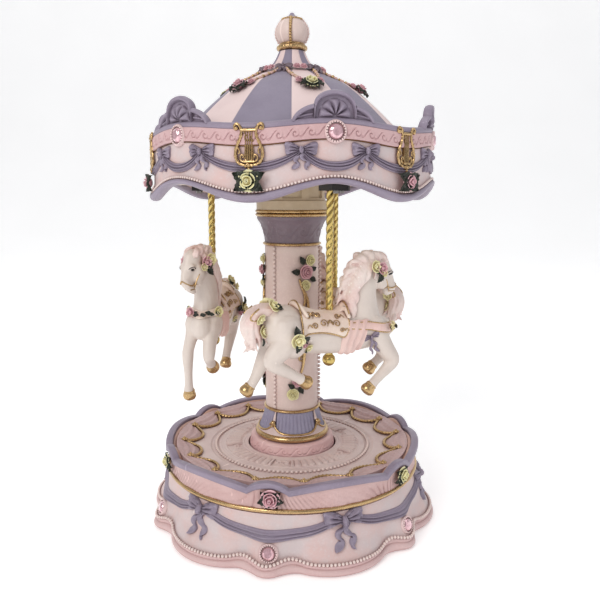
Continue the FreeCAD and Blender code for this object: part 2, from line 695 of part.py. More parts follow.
def canopy_lip():
    """Thick wavy lip under the fascia."""
    radius, centre = lip_arc()
    ring = tube(FASCIA_INNER, LIP_RADIUS, 180, 204)
    wedge = sector(-STEP / 2, STEP / 2, 180, 204)
    outer = facing_disc(radius + LIP_DEPTH, 0, centre, 40, 100)
    inner = facing_disc(radius, 0, centre, 40, 100)
    lip = ring.common(wedge).common(outer).cut(inner)
    return fused([s for piece in ring_of(lip, first=FASCIA_BEARING) for s in piece.Solids])


def canopy_pearls():
    """Line of pearls that follows the lip, laid on the fascia just above it."""
    radius, centre = lip_arc()
    ring = tube(FASCIA_RADIUS, FASCIA_RADIUS + 1.6, 180, 206)
    wedge = sector(-STEP / 2, STEP / 2, 180, 206)
    outer = facing_disc(radius + LIP_DEPTH + 1.6, 0, centre, 40, 100)
    inner = facing_disc(radius + LIP_DEPTH, 0, centre, 40, 100)
    line = ring.common(wedge).common(outer).cut(inner)
    return fused([s for piece in ring_of(line, first=FASCIA_BEARING) for s in piece.Solids])


def canopy_crests():
    """Shell crest over each panel: a tall lobe between two pairs of lower curls."""
    lobes = [facing_disc(CREST_RADIUS, 0, CREST_TOP - CREST_RADIUS, 60, 90)]
    for side in (-1, 1):
        lobes.append(facing_disc(8.5, side * 16.0, 223.8, 60, 90))
        lobes.append(facing_disc(5.5, side * 27.5, 224.4, 60, 90))
    crest = fused(lobes).common(tube(FASCIA_INNER, FASCIA_RADIUS + 0.8, FASCIA_TOP, 250))
    return group(ring_of(crest, first=FASCIA_BEARING))


def ceiling_plate():
    """Ceiling with a hole for each pole and each guide screw."""
    disc = tube(CEILING_HOLE, FASCIA_INNER, CEILING_BOTTOM, CEILING_TOP)
    for bearing in HORSE_BEARINGS:
        place = polar(POLE_CIRCLE, bearing)
        disc = disc.cut(rod(POLE_RADIUS + 0.9, 190, 200, place.x, place.y))
        place = polar(GUIDE_SCREW_RADIUS, bearing)
        disc = disc.cut(rod(1.0, 190, 200, place.x, place.y))
    return disc


def pole_guides():
    """Black guide under the ceiling for each pole."""
    body = facing_prism([(-4.5, GUIDE_BOTTOM), (4.5, GUIDE_BOTTOM), (4.5, CEILING_BOTTOM),
                         (-4.5, CEILING_BOTTOM)], POLE_CIRCLE - 4.5, POLE_CIRCLE + 10.5)
    body = body.cut(rod(POLE_RADIUS + RUNNING, 190, 200, 0, -POLE_CIRCLE))
    body = body.cut(rod(1.0, 190, 200, 0, -GUIDE_SCREW_RADIUS))
    return group([turned(body, bearing) for bearing in HORSE_BEARINGS])


def guide_screws():
    """Screw that holds each pole guide."""
    head_bottom = GUIDE_BOTTOM - SCREW_HEAD_HEIGHT
    part = screw(0, -GUIDE_SCREW_RADIUS, head_bottom, 5.0, head_radius=2.0, shank_radius=1.0, head_up=False)
    return group([turned(part, bearing) for bearing in HORSE_BEARINGS])


def canopy_swags():
    """Ribbon swags and bows across each panel of the fascia."""
    near = FASCIA_RADIUS - 10
    far = FASCIA_RADIUS + 1.8
    bow_x = FASCIA_RADIUS * math.sin(math.radians(SWAG_BOW_ANGLE))
    side_x = FASCIA_RADIUS * math.sin(math.radians(STEP / 2 - SWAG_BOW_ANGLE))
    hang = SWAG_BOW_HEIGHT - 0.5
    bows = [bow(side * bow_x, SWAG_BOW_HEIGHT, near, far, 7.5, 10.0) for side in (-1, 1)]
    centre_swag = hanging_band(bow_x, hang, 203.2, 3.0, near, far - 0.3)
    side_swag = turned(hanging_band(side_x, hang, 202.2, 3.0, near, far - 0.3), STEP / 2)
    other_swag = turned(side_swag, -STEP)
    piece = fused(bows + [centre_swag, side_swag, other_swag])
    piece = piece.common(tube(FASCIA_RADIUS, FASCIA_RADIUS + 2.2, 200, 216.5))
    piece = piece.common(sector(-STEP / 2, STEP / 2, 190, 230))
    return group(ring_of(piece, first=FASCIA_BEARING))


def canopy_lyres(swags):
    """Gilt lyre on each corner: foot, two curved arms, cross bar and four strings."""
    near = FASCIA_RADIUS
    far = FASCIA_RADIUS + 2.6
    foot = facing_prism([(-4.5, LYRE_BOTTOM), (4.5, LYRE_BOTTOM), (3.0, 205.0), (-3.0, 205.0)], near, far)
    bowl = facing_disc(6.2, 0, 210.8, near, far).cut(facing_disc(4.7, 0, 211.2, near - 1, far + 1))
    bowl = bowl.common(plate(-8, 8, -90, -60, 204, 212.5))
    arms = [facing_prism([(side * 6.2, 211.5), (side * 4.7, 211.5), (side * 3.4, 216.0),
                          (side * 4.6, 220.2), (side * 6.3, LYRE_TOP), (side * 6.5, 220.4),
                          (side * 5.0, 216.2)], near, far) for side in (-1, 1)]
    bar = facing_prism([(-5.6, 218.6), (5.6, 218.6), (5.6, 219.8), (-5.6, 219.8)], near, far)
    strings = [facing_prism([(x - 0.25, 204.6), (x + 0.25, 204.6), (x + 0.25, 219.0), (x - 0.25, 219.0)],
                            near, far - 1.0) for x in (-2.1, -0.7, 0.7, 2.1)]
    lyre = fused([foot, bowl, bar] + arms + strings)
    lyre = turned(lyre.cut(rod(FASCIA_RADIUS, 190, 230)), CORNER_BEARING).cut(swags)
    return group(ring_of(lyre))


def canopy_roses(hosts):
    """Rose on each corner of the lip."""
    bloom = turned(rose(3.5, 80.4, CORNER_ROSE_HEIGHT, 76), CORNER_BEARING)
    for host in hosts:
        bloom = bloom.cut(host)
    return group(ring_of(bloom))


def canopy_leaves(hosts):
    """Four leaves behind each rose of the canopy."""
    upper = CORNER_ROSE_HEIGHT - 0.4
    lower = CORNER_ROSE_HEIGHT - 3.2
    leaves = [lens(8.0, 4.6, side * 5.0, upper, side * 8, 77, 81.6) for side in (-1, 1)]
    leaves += [lens(6.0, 4.0, side * 3.2, lower, side * 50, 77, 82.0) for side in (-1, 1)]
    spray = turned(fused(leaves), CORNER_BEARING)
    for host in hosts:
        spray = spray.cut(host)
    return group(ring_of(spray))


def smooth_edge(points):
    """Smooth curve through the points."""
    curve = Part.BSplineCurve()
    curve.interpolate(points)
    return curve.toShape()


def canopy_roof():
    """Ogee roof shell with a boss inside for the top of the drive shaft."""
    outer = [Vector(r, 0, z) for r, z in ROOF_OUTLINE]
    under = [Vector(r, 0, z) for r, z in ROOF_UNDERSIDE]
    axis_top = Vector(0, 0, outer[-1].z)
    axis_low = Vector(0, 0, under[-1].z)
    links = [(outer[-1], axis_top), (axis_top, axis_low), (axis_low, under[-1]), (under[0], outer[0])]
    edges = [smooth_edge(outer), smooth_edge(under)]
    edges += [Part.LineSegment(*link).toShape() for link in links]
    face = Part.Face(Part.Wire(Part.__sortEdges__(edges)))
    shell = face.revolve(ORIGIN, Z_AXIS, 360)
    boss = rod(6.0, 238.0, 256.0)
    return shell.fuse(boss).cut(rod(DRIVE_RADIUS, 230.0, 262.0))


def roof_garland(roof):
    """Gilt bead chain that lies round the roof, with a rose on each panel."""
    chain = Part.makeTorus(37.0, 1.1, Vector(0, 0, 247.2)).cut(roof)
    blooms = [Part.makeSphere(3.2, polar(33.0, FASCIA_BEARING + i * STEP, 250.2)) for i in range(PANELS)]
    under = rod(200, 0, 240)
    whole = fused([chain] + blooms).cut(roof).cut(under)
    return group([s for s in whole.Solids if s.Volume > 1.0])


def finial_ring():
    """Gilt ring under the finial."""
    return bead_ring(9.0, ROOF_OUTLINE[-1][1], FINIAL_RING_TOP, 0.0)


def finial():
    """Bud-shaped finial."""
    outline = [Vector(r, 0, z) for r, z in
               ((4.6, FINIAL_RING_TOP), (7.6, 274.6), (9.1, 278.0), (8.0, 281.8), (4.8, 285.4),
                (2.0, 287.4), (1.0, 289.0))]
    tip = Vector(0, 0, TOTAL_HEIGHT)
    foot = Vector(0, 0, FINIAL_RING_TOP)
    edges = [smooth_edge(outline), Part.LineSegment(outline[-1], tip).toShape(),
             Part.LineSegment(tip, foot).toShape(), Part.LineSegment(foot, outline[0]).toShape()]
    return Part.Face(Part.Wire(edges)).revolve(ORIGIN, Z_AXIS, 360)


# --- horses -------------------------------------------------------------------------------------
# Limbs in the horse's own frame: forward, outward and up from the pole at saddle height, with the
# radius of each end. The near side is the one that faces outwards.
TRUNK = [
    ((24, 0, -10), 12.5, (0, 0, -8.6), 11.9),
    ((0, 0, -8.4), 12.0, (-26, 0, -5.5), 13.2),
    ((22, 0, -3), 11.0, (26, 0, 20), 6.4),
    ((26.5, 0, 24), 7.2, (35, 0, 14), 4.3),
    ((16, 0, 6), 6.0, (20, 0, 27), 6.0),
]
TAIL = [
    ((-34, 0, 3), 5.5, (-45, 0, 2), 6.0),
    ((-45, 0, 2.1), 5.9, (-43, 0, -12), 3.6),
]
NEAR_HIND_LEG = [
    ((-27, 6, -12), 8.0, (-37, 6, -22), 4.2),
    ((-37, 6, -22), 4.0, (-17, 6, -33), 2.8),
    ((-17, 6, -33), 3.0, (-11.5, 6, -36), 3.6),
]
TRAILING_HIND_LEG = [
    ((-27, -6, -12), 8.1, (-37, -6, -24), 4.1),
    ((-37, -6, -24), 3.9, (-43, -6, -36), 2.9),
    ((-43, -6, -36), 3.1, (-46, -6, -38.5), 3.5),
]
STANDING_HIND_LEG = [
    ((-27, -5, -12), 8.1, (-33, -4, -26), 4.3),
    ((-33, -4, -26), 4.1, (-25, -2.4, -40), 2.9),
    ((-25, -2.4, -40), 3.1, (-22, -2, -44.5), 3.6),
]
BENT_FORELEG = [
    ((28, 6, -16), 6.5, (39, 6.5, -27), 4.3),
    ((39, 6.5, -27), 4.1, (27, 6.5, -39), 2.9),
    ((27, 6.5, -39), 3.0, (23.5, 6.5, -42.5), 3.7),
]
LONG_FORELEG = [
    ((28, 6, -16), 6.5, (30, 7.5, -32), 4.0),
    ((30, 7.5, -32), 3.8, (24, 8.0, -46), 2.9),
    ((24, 8.0, -46), 3.0, (23, 8.0, -49.5), 3.8),
]
TUCKED_FORELEG = [
    ((28, -5, -16), 6.4, (37, -5, -24), 4.2),
    ((37, -5, -24), 4.0, (28, -5, -31), 2.9),
    ((28, -5, -31), 3.1, (24.5, -5, -33), 3.6),
]
# near foreleg and far hind leg of each horse
GAITS = [(BENT_FORELEG, TRAILING_HIND_LEG), (BENT_FORELEG, TRAILING_HIND_LEG),
         (LONG_FORELEG, STANDING_HIND_LEG)]


def limb(start, start_radius, end, end_radius):
    """Tapered limb given in the horse's own frame."""
    def place(point):
        forward, outward, up = point
        return Vector(forward, -POLE_CIRCLE - outward, SADDLE_HEIGHT + up)
    return tapered_rod(place(start), place(end), start_radius, end_radius)


def saddle():
    """Saddle with a raised pommel and cantle, strapped over the horse's back."""
    outline = [(-22, 9.5), (-18, 8.5), (-12, 4.4), (0, 4.0), (6, 6.0), (9, 9.0), (11, 7), (10, -12),
               (-18, -12)]
    corners = [Vector(x, -POLE_CIRCLE - 13, SADDLE_HEIGHT + z) for x, z in outline]
    slab = Part.Face(Part.makePolygon(corners + corners[:1])).extrude(Vector(0, 26, 0))
    skin = Part.makeCylinder(13.6, 40, Vector(-26, -POLE_CIRCLE, SADDLE_HEIGHT - 6.5), Vector(1, 0, 0))
    return slab.common(skin)


def pole():
    """Pole with a ball at its lower end."""
    shaft = rod(POLE_RADIUS, POLE_BALL_HEIGHT, POLE_TOP, 0, -POLE_CIRCLE)
    ball = Part.makeSphere(POLE_BALL_RADIUS, Vector(0, -POLE_CIRCLE, POLE_BALL_HEIGHT))
    return shaft.fuse(ball)


def horse(foreleg, hind_leg):
    """One horse with its saddle, bored for its pole."""
    body = TRUNK + TAIL + NEAR_HIND_LEG + TUCKED_FORELEG
    limbs = [limb(*piece) for piece in body + hind_leg + foreleg]
    return fused(limbs + [saddle()]).cut(pole())


def follower():
    """Arm clamped on the pole's top, with the roller that runs over the cam."""
    middle = CAM_VALLEY + ROLLER_RADIUS
    roller_near = CAM_OUTER + CAM_TO_ROLLER
    roller = facing_disc(ROLLER_RADIUS, 0, middle, roller_near, roller_near + ROLLER_WIDTH)
    pin = facing_disc(1.2, 0, middle, roller_near + ROLLER_WIDTH - 0.5, 34.0)
    arm = plate(-2.5, 2.5, -51.0, -33.0, middle - 3.0, middle + 3.0)
    return fused([roller, pin, arm]).cut(rod(POLE_RADIUS, 190, 230, 0, -POLE_CIRCLE))


# --- assembly -----------------------------------------------------------------------------------
def base_pieces():
    """Every sub-part of the base and deck."""
    shell = base_shell()
    band, rim = gallery()
    ring = trim_ring()
    hosts = [band, rim, ring, shell]
    roses = base_roses(hosts)
    setting = jewel_setting(4.3, 83.0, JEWEL_HEIGHT, 76, [shell], LOBE_BEARING)
    stone = jewel(3.2, 83.4, JEWEL_HEIGHT, 76, [shell], LOBE_BEARING)
    settings = group(ring_of(setting))
    jewels = group(ring_of(stone))
    return {
        "felt_ring": tube(69.5, 76.0, 0, FELT_TOP),
        "base_shell": shell,
        "base_plate": base_plate(),
        "base_screws": screws(),
        "base_trim_ring": ring,
        "gallery_band": band,
        "gallery_rim": rim,
        "deck_plate": deck_plate(),
        "deck_pearls": deck_pearls(),
        "deck_drapes": deck_drapes(),
        "deck_rope": deck_rope(),
        "base_swags": base_swags(shell),
        "base_roses": roses,
        "base_leaves": base_leaves(hosts + [roses]),
        "base_settings": settings,
        "base_jewels": jewels,
        "base_pearls": base_pearls(shell),
    }


def column_pieces():
    """Every sub-part of the column and the cam."""
    shaft = tube(COLUMN_BORE, SHAFT_RADIUS, SHAFT_BOTTOM, SHAFT_TOP)
    return {
        "column_collar": column_collar(),
        "column_foot": column_foot(),
        "column_rings": column_rings(),
        "column_shaft": shaft,
        "column_capital": column_capital(),
        "column_pearls": column_pearls(shaft),
        "column_vines": column_vines(shaft),
        "cam_housing": cam_housing(),
        "cam_ring": cam_ring(),
    }


def movement_pieces():
    """Every sub-part of the musical movement."""
    return {
        "movement_plate": movement_plate(),
        "movement_bridge": movement_bridge(),
        "comb": comb(),
        "music_cylinder": music_cylinder(),
        "governor": governor(),
        "spring_drum": spring_drum(),
        "drive_shaft": drive_shaft(),
        "winding_key": winding_key(),
    }


def canopy_pieces():
    """Every sub-part of the canopy and roof."""
    fascia = canopy_fascia()
    lip = canopy_lip()
    pearls = canopy_pearls()
    swags = canopy_swags()
    roof = canopy_roof()
    hosts = [fascia, lip, pearls]
    roses = canopy_roses(hosts)
    back = FASCIA_RADIUS - 6
    setting = jewel_setting(4.6, FASCIA_RADIUS + 2.6, BAND_JEWEL_HEIGHT, back, [fascia], FASCIA_BEARING)
    stone = jewel(3.5, FASCIA_RADIUS + 3.4, BAND_JEWEL_HEIGHT, back, [fascia], FASCIA_BEARING)
    core = rod(FASCIA_RADIUS, 190, 230)
    return {
        "canopy_roof": roof,
        "canopy_fascia": fascia,
        "canopy_lip": lip,
        "canopy_pearls": pearls,
        "canopy_crests": canopy_crests(),
        "ceiling_plate": ceiling_plate(),
        "canopy_swags": swags,
        "canopy_lyres": canopy_lyres(swags),
        "canopy_roses": roses,
        "canopy_leaves": canopy_leaves(hosts + [roses]),
        "canopy_settings": group(ring_of(setting.cut(core))),
        "canopy_jewels": group(ring_of(stone.cut(core))),
        "roof_garland": roof_garland(roof),
        "finial_ring": finial_ring(),
        "finial": finial(),
        "pole_guides": pole_guides(),
        "guide_screws": guide_screws(),
    }


def horse_pieces():
    """The three horses with their poles and followers."""
    pieces = {}
    for number, bearing in enumerate(HORSE_BEARINGS, start=1):
        pieces["horse_%d" % number] = turned(horse(*GAITS[number - 1]), bearing)
        pieces["pole_%d" % number] = turned(pole(), bearing)
        pieces["follower_%d" % number] = turned(follower(), bearing)
    return pieces


def main():
    """Write every sub-part."""
    os.makedirs("parts", exist_ok=True)
    pieces = {}
    for section in (base_pieces, column_pieces, movement_pieces, canopy_pieces, horse_pieces):
        pieces.update(section())
    for name, shape in pieces.items():
        shape.exportStep("parts/%s.step" % name)
        print(name, "solids", len(shape.Solids), "volume %.1f" % shape.Volume, "valid", shape.isValid())
    print(len(pieces), "sub-parts")


main()
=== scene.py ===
import json
import math

import bmesh
import bpy
import numpy as np
from mathutils import Matrix, Vector
from mathutils.bvhtree import BVHTree


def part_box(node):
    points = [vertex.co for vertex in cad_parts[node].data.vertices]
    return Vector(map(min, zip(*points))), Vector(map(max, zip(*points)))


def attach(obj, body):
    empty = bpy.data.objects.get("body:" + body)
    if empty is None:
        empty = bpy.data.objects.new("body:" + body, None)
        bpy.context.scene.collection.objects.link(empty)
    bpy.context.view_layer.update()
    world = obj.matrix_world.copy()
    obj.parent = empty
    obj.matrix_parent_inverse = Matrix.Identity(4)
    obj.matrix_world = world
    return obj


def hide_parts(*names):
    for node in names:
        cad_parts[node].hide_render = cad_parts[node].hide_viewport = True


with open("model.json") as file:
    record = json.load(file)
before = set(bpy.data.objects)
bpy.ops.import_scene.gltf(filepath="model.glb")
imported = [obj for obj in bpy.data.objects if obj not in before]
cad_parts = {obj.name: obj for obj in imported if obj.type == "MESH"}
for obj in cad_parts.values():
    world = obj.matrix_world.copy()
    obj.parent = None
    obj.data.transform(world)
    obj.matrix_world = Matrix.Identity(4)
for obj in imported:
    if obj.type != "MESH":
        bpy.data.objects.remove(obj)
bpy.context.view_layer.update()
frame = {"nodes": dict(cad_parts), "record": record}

# Musical carousel. Everything is worked out in millimetres and scaled once, when a mesh is made.
# A bearing is the angle round the axis in degrees, from the front (-Y) towards +X.
MM = 0.001

PANELS = 6
STEP = 360.0 / PANELS
# In the base, a small lobe stands between each two broad panels.
LOBE_BEARING = -9.4
LOBE_HALF = 8.3
PANEL_BEARING = LOBE_BEARING + STEP / 2
# In the canopy, a lyre stands at each corner and a crest over each panel.
CORNER_BEARING = -15.2
FASCIA_BEARING = CORNER_BEARING + STEP / 2
# The horses' poles, and the height that is zero in a horse's own frame.
HORSE_BEARINGS = (24.5, 144.5, 264.5)
POLE_CIRCLE = 47.5
SADDLE_HEIGHT = 127.4
# The knobs that hold up the rope round the deck.
KNOBS = 16
KNOB_HALF = 180.0 / KNOBS
FIRST_KNOB = -17.0


def span(node):
    """Lowest height, highest height and greatest radius of a CAD node, in millimetres."""
    low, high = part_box(node)
    return low.z / MM, high.z / MM, max(high.x, -low.x, high.y, -low.y) / MM


SHELL_LOW, SHELL_TOP, FOOT_RADIUS = span("base_shell")
FASCIA_RADIUS = span("canopy_fascia")[2]
SHAFT_LOW, SHAFT_TOP, SHAFT_RADIUS = span("column_shaft")
DECK_TOP = 41.0
SHELL_BORE = 67.6
COLUMN_BORE = 12.2
BODY_OF = {"base": "base", "canopy": "carousel"}


# --- colours and materials ----------------------------------------------------------------------
def srgb(red, green, blue):
    """Linear colour from red, green and blue of 0 to 255."""
    def linear(value):
        value /= 255
        return value / 12.92 if value <= 0.04045 else ((value + 0.055) / 1.055) ** 2.4
    return (linear(red), linear(green), linear(blue), 1.0)


class Nodes:
    """Small helper that adds shader nodes and links them."""

    def __init__(self, name):
        self.material = bpy.data.materials.new(name)
        self.material.use_nodes = True
        self.tree = self.material.node_tree
        self.shader = self.tree.nodes["Principled BSDF"]
        self.place = self.add("ShaderNodeTexCoord").outputs["Object"]

    def add(self, kind, **values):
        """Adds a node; each value sets an input or, failing that, a property."""
        node = self.tree.nodes.new(kind)
        for key, value in values.items():
            if key in node.inputs:
                node.inputs[key].default_value = value
            else:
                setattr(node, key, value)
        return node

    def link(self, source, target):
        """Feeds an input from an output."""
        self.tree.links.new(source, target)

    def noise(self, scale, detail):
        """Noise that is fixed to the piece."""
        node = self.add("ShaderNodeTexNoise", Scale=scale, Detail=detail, Roughness=0.55)
        self.link(self.place, node.inputs["Vector"])
        return node.outputs["Fac"]

    def ramp(self, source, low, high, dark=0.0, light=1.0):
        """Maps the range from low to high onto dark to light."""
        node = self.add("ShaderNodeMapRange")
        for key, value in (("From Min", low), ("From Max", high), ("To Min", dark), ("To Max", light)):
            node.inputs[key].default_value = value
        self.link(source, node.inputs["Value"])
        return node.outputs["Result"]

    def mix(self, factor, first, second):
        """Blends two colours, each of them fixed or the output of a node."""
        node = self.add("ShaderNodeMix", data_type="RGBA")
        self.link(factor, node.inputs[0])
        for value, socket in ((first, node.inputs[6]), (second, node.inputs[7])):
            if isinstance(value, tuple):
                socket.default_value = value
            else:
                self.link(value, socket)
        return node.outputs[2]

    def reckon(self, operation, source, *values):
        """Maths on a value; further values fill the node's other inputs."""
        node = self.add("ShaderNodeMath", operation=operation)
        self.link(source, node.inputs[0])
        for socket, value in zip(node.inputs[1:], values):
            socket.default_value = value
        return node.outputs[0]

    def crevices(self, distance):
        """How open the surface is: low in hollows about as wide as the distance."""
        node = self.add("ShaderNodeAmbientOcclusion", Distance=distance)
        node.samples = 6
        return node.outputs["AO"]

    def bump(self, height, distance, strength):
        """Gives the surface a fine relief."""
        node = self.add("ShaderNodeBump", Distance=distance, Strength=strength)
        self.link(height, node.inputs["Height"])
        self.link(node.outputs["Normal"], self.shader.inputs["Normal"])

    def set(self, **values):
        """Sets inputs of the main shader; an underscore stands for a space."""
        for key, value in values.items():
            self.shader.inputs[key.replace("_", " ")].default_value = value


def resin(name, colour, shade_colour, cloud, rough=0.5, depth=0.004):
    """Painted cast resin: cloudy colour, painted shade in the hollows, and lighter high edges that are partly
    wear and partly a painted highlight.
    """
    make = Nodes(name)
    broad = make.ramp(make.noise(70, 3), 0.35, 0.65)
    fine = make.ramp(make.noise(900, 5), 0.3, 0.7)
    base = make.mix(broad, srgb(*colour), srgb(*cloud))
    light = tuple(min(255, c + 10) for c in colour)
    base = make.mix(make.ramp(fine, 0.55, 1.0, 0.0, 0.5), base, srgb(*light))
    # painted shade: the hollows are darkened towards the shade colour
    hollow = make.ramp(make.crevices(depth), 0.25, 0.85, 0.85, 0.0)
    base = make.mix(hollow, base, srgb(*shade_colour))
    # high edges made lighter: partly wear, partly a painted highlight
    edge = make.add("ShaderNodeNewGeometry").outputs["Pointiness"]
    wear_and_highlight = tuple(min(255, c + 26) for c in colour)
    base = make.mix(make.ramp(edge, 0.53, 0.62, 0.0, 0.7), base, srgb(*wear_and_highlight))
    make.link(base, make.shader.inputs["Base Color"])
    make.link(make.ramp(fine, 0.0, 1.0, rough - 0.08, rough + 0.1), make.shader.inputs["Roughness"])
    make.bump(make.noise(1600, 4), 0.00012, 0.35)
    return make.material


def gilt(name, colour, dark, metallic=0.85, rough=0.33, depth=0.0025):
    """Gold paint or plate, with painted shade that turns the hollows brown."""
    make = Nodes(name)
    patch = make.ramp(make.noise(180, 3), 0.3, 0.7)
    base = make.mix(make.ramp(patch, 0.0, 1.0, 0.0, 0.3), srgb(*colour), srgb(*dark))
    # painted shade: the hollows are darkened towards the dark colour
    hollow = make.ramp(make.crevices(depth), 0.2, 0.8, 0.9, 0.0)
    base = make.mix(hollow, base, srgb(*dark))
    make.link(base, make.shader.inputs["Base Color"])
    make.link(make.ramp(make.noise(1200, 3), 0.3, 0.7, rough - 0.08, rough + 0.12),
              make.shader.inputs["Roughness"])
    make.set(Metallic=metallic)
    make.bump(make.noise(1500, 3), 0.0001, 0.3)
    return make.material


def bead_paint():
    """Blush pearl, with painted shade between the beads."""
    make = Nodes("pearl_paint")
    # painted shade: darker between the beads
    base = make.mix(make.ramp(make.crevices(0.0012), 0.2, 0.8, 1.0, 0.0), srgb(233, 214, 208),
                    srgb(178, 142, 138))
    base = make.mix(make.ramp(make.noise(600, 3), 0.55, 0.7, 0.0, 0.5), base, srgb(222, 196, 190))
    make.link(base, make.shader.inputs["Base Color"])
    make.link(make.ramp(make.noise(900, 2), 0.3, 0.7, 0.3, 0.45), make.shader.inputs["Roughness"])
    return make.material


def rhinestone(name, colour):
    """Foil-backed faceted stone."""
    make = Nodes(name)
    tone = make.ramp(make.noise(500, 2), 0.35, 0.65)
    light = tuple(min(255, c + 35) for c in colour)
    make.link(make.mix(tone, srgb(*colour), srgb(*light)), make.shader.inputs["Base Color"])
    make.link(make.ramp(make.noise(700, 2), 0.3, 0.7, 0.05, 0.12), make.shader.inputs["Roughness"])
    make.set(Metallic=0.55, Coat_Weight=1.0, Coat_Roughness=0.03, IOR=1.7)
    return make.material


def moulded(name, colour, other, rough):
    """Moulded plastic or felt: even colour with slight mottling and a fine grain."""
    make = Nodes(name)
    base = make.mix(make.ramp(make.noise(200, 4), 0.3, 0.7), srgb(*colour), srgb(*other))
    make.link(base, make.shader.inputs["Base Color"])
    make.link(make.ramp(make.noise(1500, 3), 0.3, 0.7, rough - 0.05, rough + 0.08),
              make.shader.inputs["Roughness"])
    make.bump(make.noise(3000, 3), 0.00008, 0.4)
    return make.material


def roof_paint():
    """The roof's twelve gores, painted pink over the panels and lavender over the corners."""
    make = Nodes("roof_paint")
    split = make.add("ShaderNodeSeparateXYZ")
    make.link(make.place, split.inputs[0])
    angle = make.add("ShaderNodeMath", operation="ARCTAN2")
    make.link(split.outputs["X"], angle.inputs[0])
    make.link(make.reckon("MULTIPLY", split.outputs["Y"], -1.0), angle.inputs[1])
    first_gore = -math.radians(FASCIA_BEARING * PANELS)
    turn = make.reckon("MULTIPLY_ADD", angle.outputs[0], PANELS, first_gore)
    stripe = make.ramp(make.reckon("COSINE", turn), -0.03, 0.03)
    broad = make.ramp(make.noise(60, 4), 0.3, 0.7)
    lavender = make.mix(broad, srgb(*LAVENDER), srgb(*LAVENDER_CLOUD))
    pink = make.mix(broad, srgb(*PALE_PINK), srgb(*PALE_CLOUD))
    base = make.mix(stripe, lavender, pink)
    # painted shade: the roof's hollows are darkened
    hollow = make.ramp(make.crevices(0.004), 0.25, 0.85, 0.8, 0.0)
    base = make.mix(hollow, base, srgb(112, 92, 96))
    make.link(base, make.shader.inputs["Base Color"])
    make.link(make.ramp(make.noise(900, 3), 0.3, 0.7, 0.42, 0.6), make.shader.inputs["Roughness"])
    make.bump(make.noise(1600, 4), 0.00012, 0.35)
    return make.material


LAVENDER = (146, 137, 156)
LAVENDER_CLOUD = (136, 127, 146)
DUSKY = (150, 138, 156)
DUSKY_CLOUD = (139, 127, 145)
PALE_PINK = (240, 218, 215)
PALE_CLOUD = (231, 207, 205)

PAINT = {
    "cream_resin": resin("cream_paint", (210, 196, 196), (150, 112, 108), (219, 190, 186)),
    "pink_resin": resin("pink_paint", (223, 186, 184), (166, 116, 116), (214, 173, 172)),
    "pale_resin": resin("pale_paint", (223, 203, 198), (150, 118, 114), (212, 188, 184)),
    "cone_resin": resin("cone_paint", (156, 151, 174), (96, 88, 110), (144, 139, 163)),
    "deck_resin": resin("deck_paint", (222, 202, 197), (138, 102, 98), (211, 187, 183), 0.5, 0.0022),
    "rose_band": resin("band_paint", (210, 175, 176), (150, 106, 110), (202, 165, 166)),
    "foot_resin": resin("foot_paint", (213, 184, 182), (156, 110, 108), (213, 179, 178)),
    "band_resin": resin("gallery_paint", (212, 180, 177), (150, 104, 100), (203, 167, 164)),
    # the darker sheet on the gallery's inner face: painted shade
    "lining_resin": resin("inner_shade_paint", (196, 156, 140), (120, 82, 70), (180, 140, 126)),
    "drape_resin": resin("drape_paint", (198, 168, 166), (140, 96, 94), (188, 156, 154)),
    "collar_resin": resin("collar_paint", (232, 196, 194), (158, 108, 110), (218, 176, 176)),
    "shaft_resin": resin("shaft_paint", (226, 206, 198), (150, 114, 108), (218, 194, 187), 0.42),
    "capital_resin": resin("capital_paint", (128, 112, 122), (74, 58, 66), (118, 102, 112), 0.42),
    "lavender_resin": resin("lavender_paint", DUSKY, (84, 68, 80), DUSKY_CLOUD, 0.44),
    "white_resin": resin("white_paint", (217, 204, 195), (186, 160, 148), (224, 212, 203), 0.42, 0.003),
    "saddle_resin": resin("saddle_paint", (240, 222, 207), (176, 132, 112), (228, 202, 188), 0.42, 0.002),
    "strap_resin": resin("strap_paint", (232, 202, 194), (180, 126, 120), (224, 188, 180), 0.45, 0.002),
    "mane_resin": resin("mane_paint", (236, 222, 215), (206, 162, 156), (230, 203, 197), 0.5, 0.0025),
    "gold_paint": gilt("gold_paint", (208, 176, 128), (112, 78, 46), 0.9, 0.27),
    # thin dark brown line under the canopy's scroll band: painted shade
    "old_gold": gilt("old_gold", (120, 84, 46), (70, 44, 24)),
    "brass": gilt("brass_plate", (212, 188, 118), (150, 120, 48), 1.0, 0.16, 0.0014),
    "rose_pink": resin("rose_pink_paint", (218, 172, 180), (164, 104, 116), (226, 184, 188), 0.5, 0.002),
    "rose_yellow": resin("rose_yellow_paint", (240, 229, 178), (192, 176, 118), (243, 236, 198), 0.5, 0.002),
    "leaf_green": resin("leaf_paint", (38, 46, 34), (12, 13, 11), (30, 34, 28), 0.4, 0.002),
    "pearl": bead_paint(),
    "blush_bead": resin("blush_paint", (214, 176, 168), (120, 84, 60), (196, 158, 130), 0.4, 0.002),
    "crystal": rhinestone("pink_stone", (208, 164, 172)),
    "silver": resin("setting_paint", (226, 200, 198), (92, 58, 60), (216, 188, 187), 0.32, 0.0022),
    "cream_plastic": moulded("cream_plastic", (196, 178, 152), (186, 167, 140), 0.42),
    "black_plastic": moulded("black_plastic", (26, 25, 27), (34, 33, 35), 0.5),
    "steel": gilt("plated_steel", (170, 168, 166), (110, 108, 106), 1.0, 0.3),
    "felt": moulded("dark_felt", (46, 38, 42), (34, 29, 32), 0.92),
    "eye": moulded("eye_paint", (12, 11, 12), (18, 16, 17), 0.2),
    "roof_resin": roof_paint(),
}


# --- mesh helpers -------------------------------------------------------------------------------
def at(radius, bearing, height):
    """Points from radius, bearing and height arrays, as an array of rows."""
    angle = np.radians(bearing)
    radius, angle, height = np.broadcast_arrays(radius, angle, height)
    return np.stack([radius * np.sin(angle), -radius * np.cos(angle), height], -1)


def each_panel(first):
    """A bearing and its like on the other panels."""
    return [first + i * STEP for i in range(PANELS)]


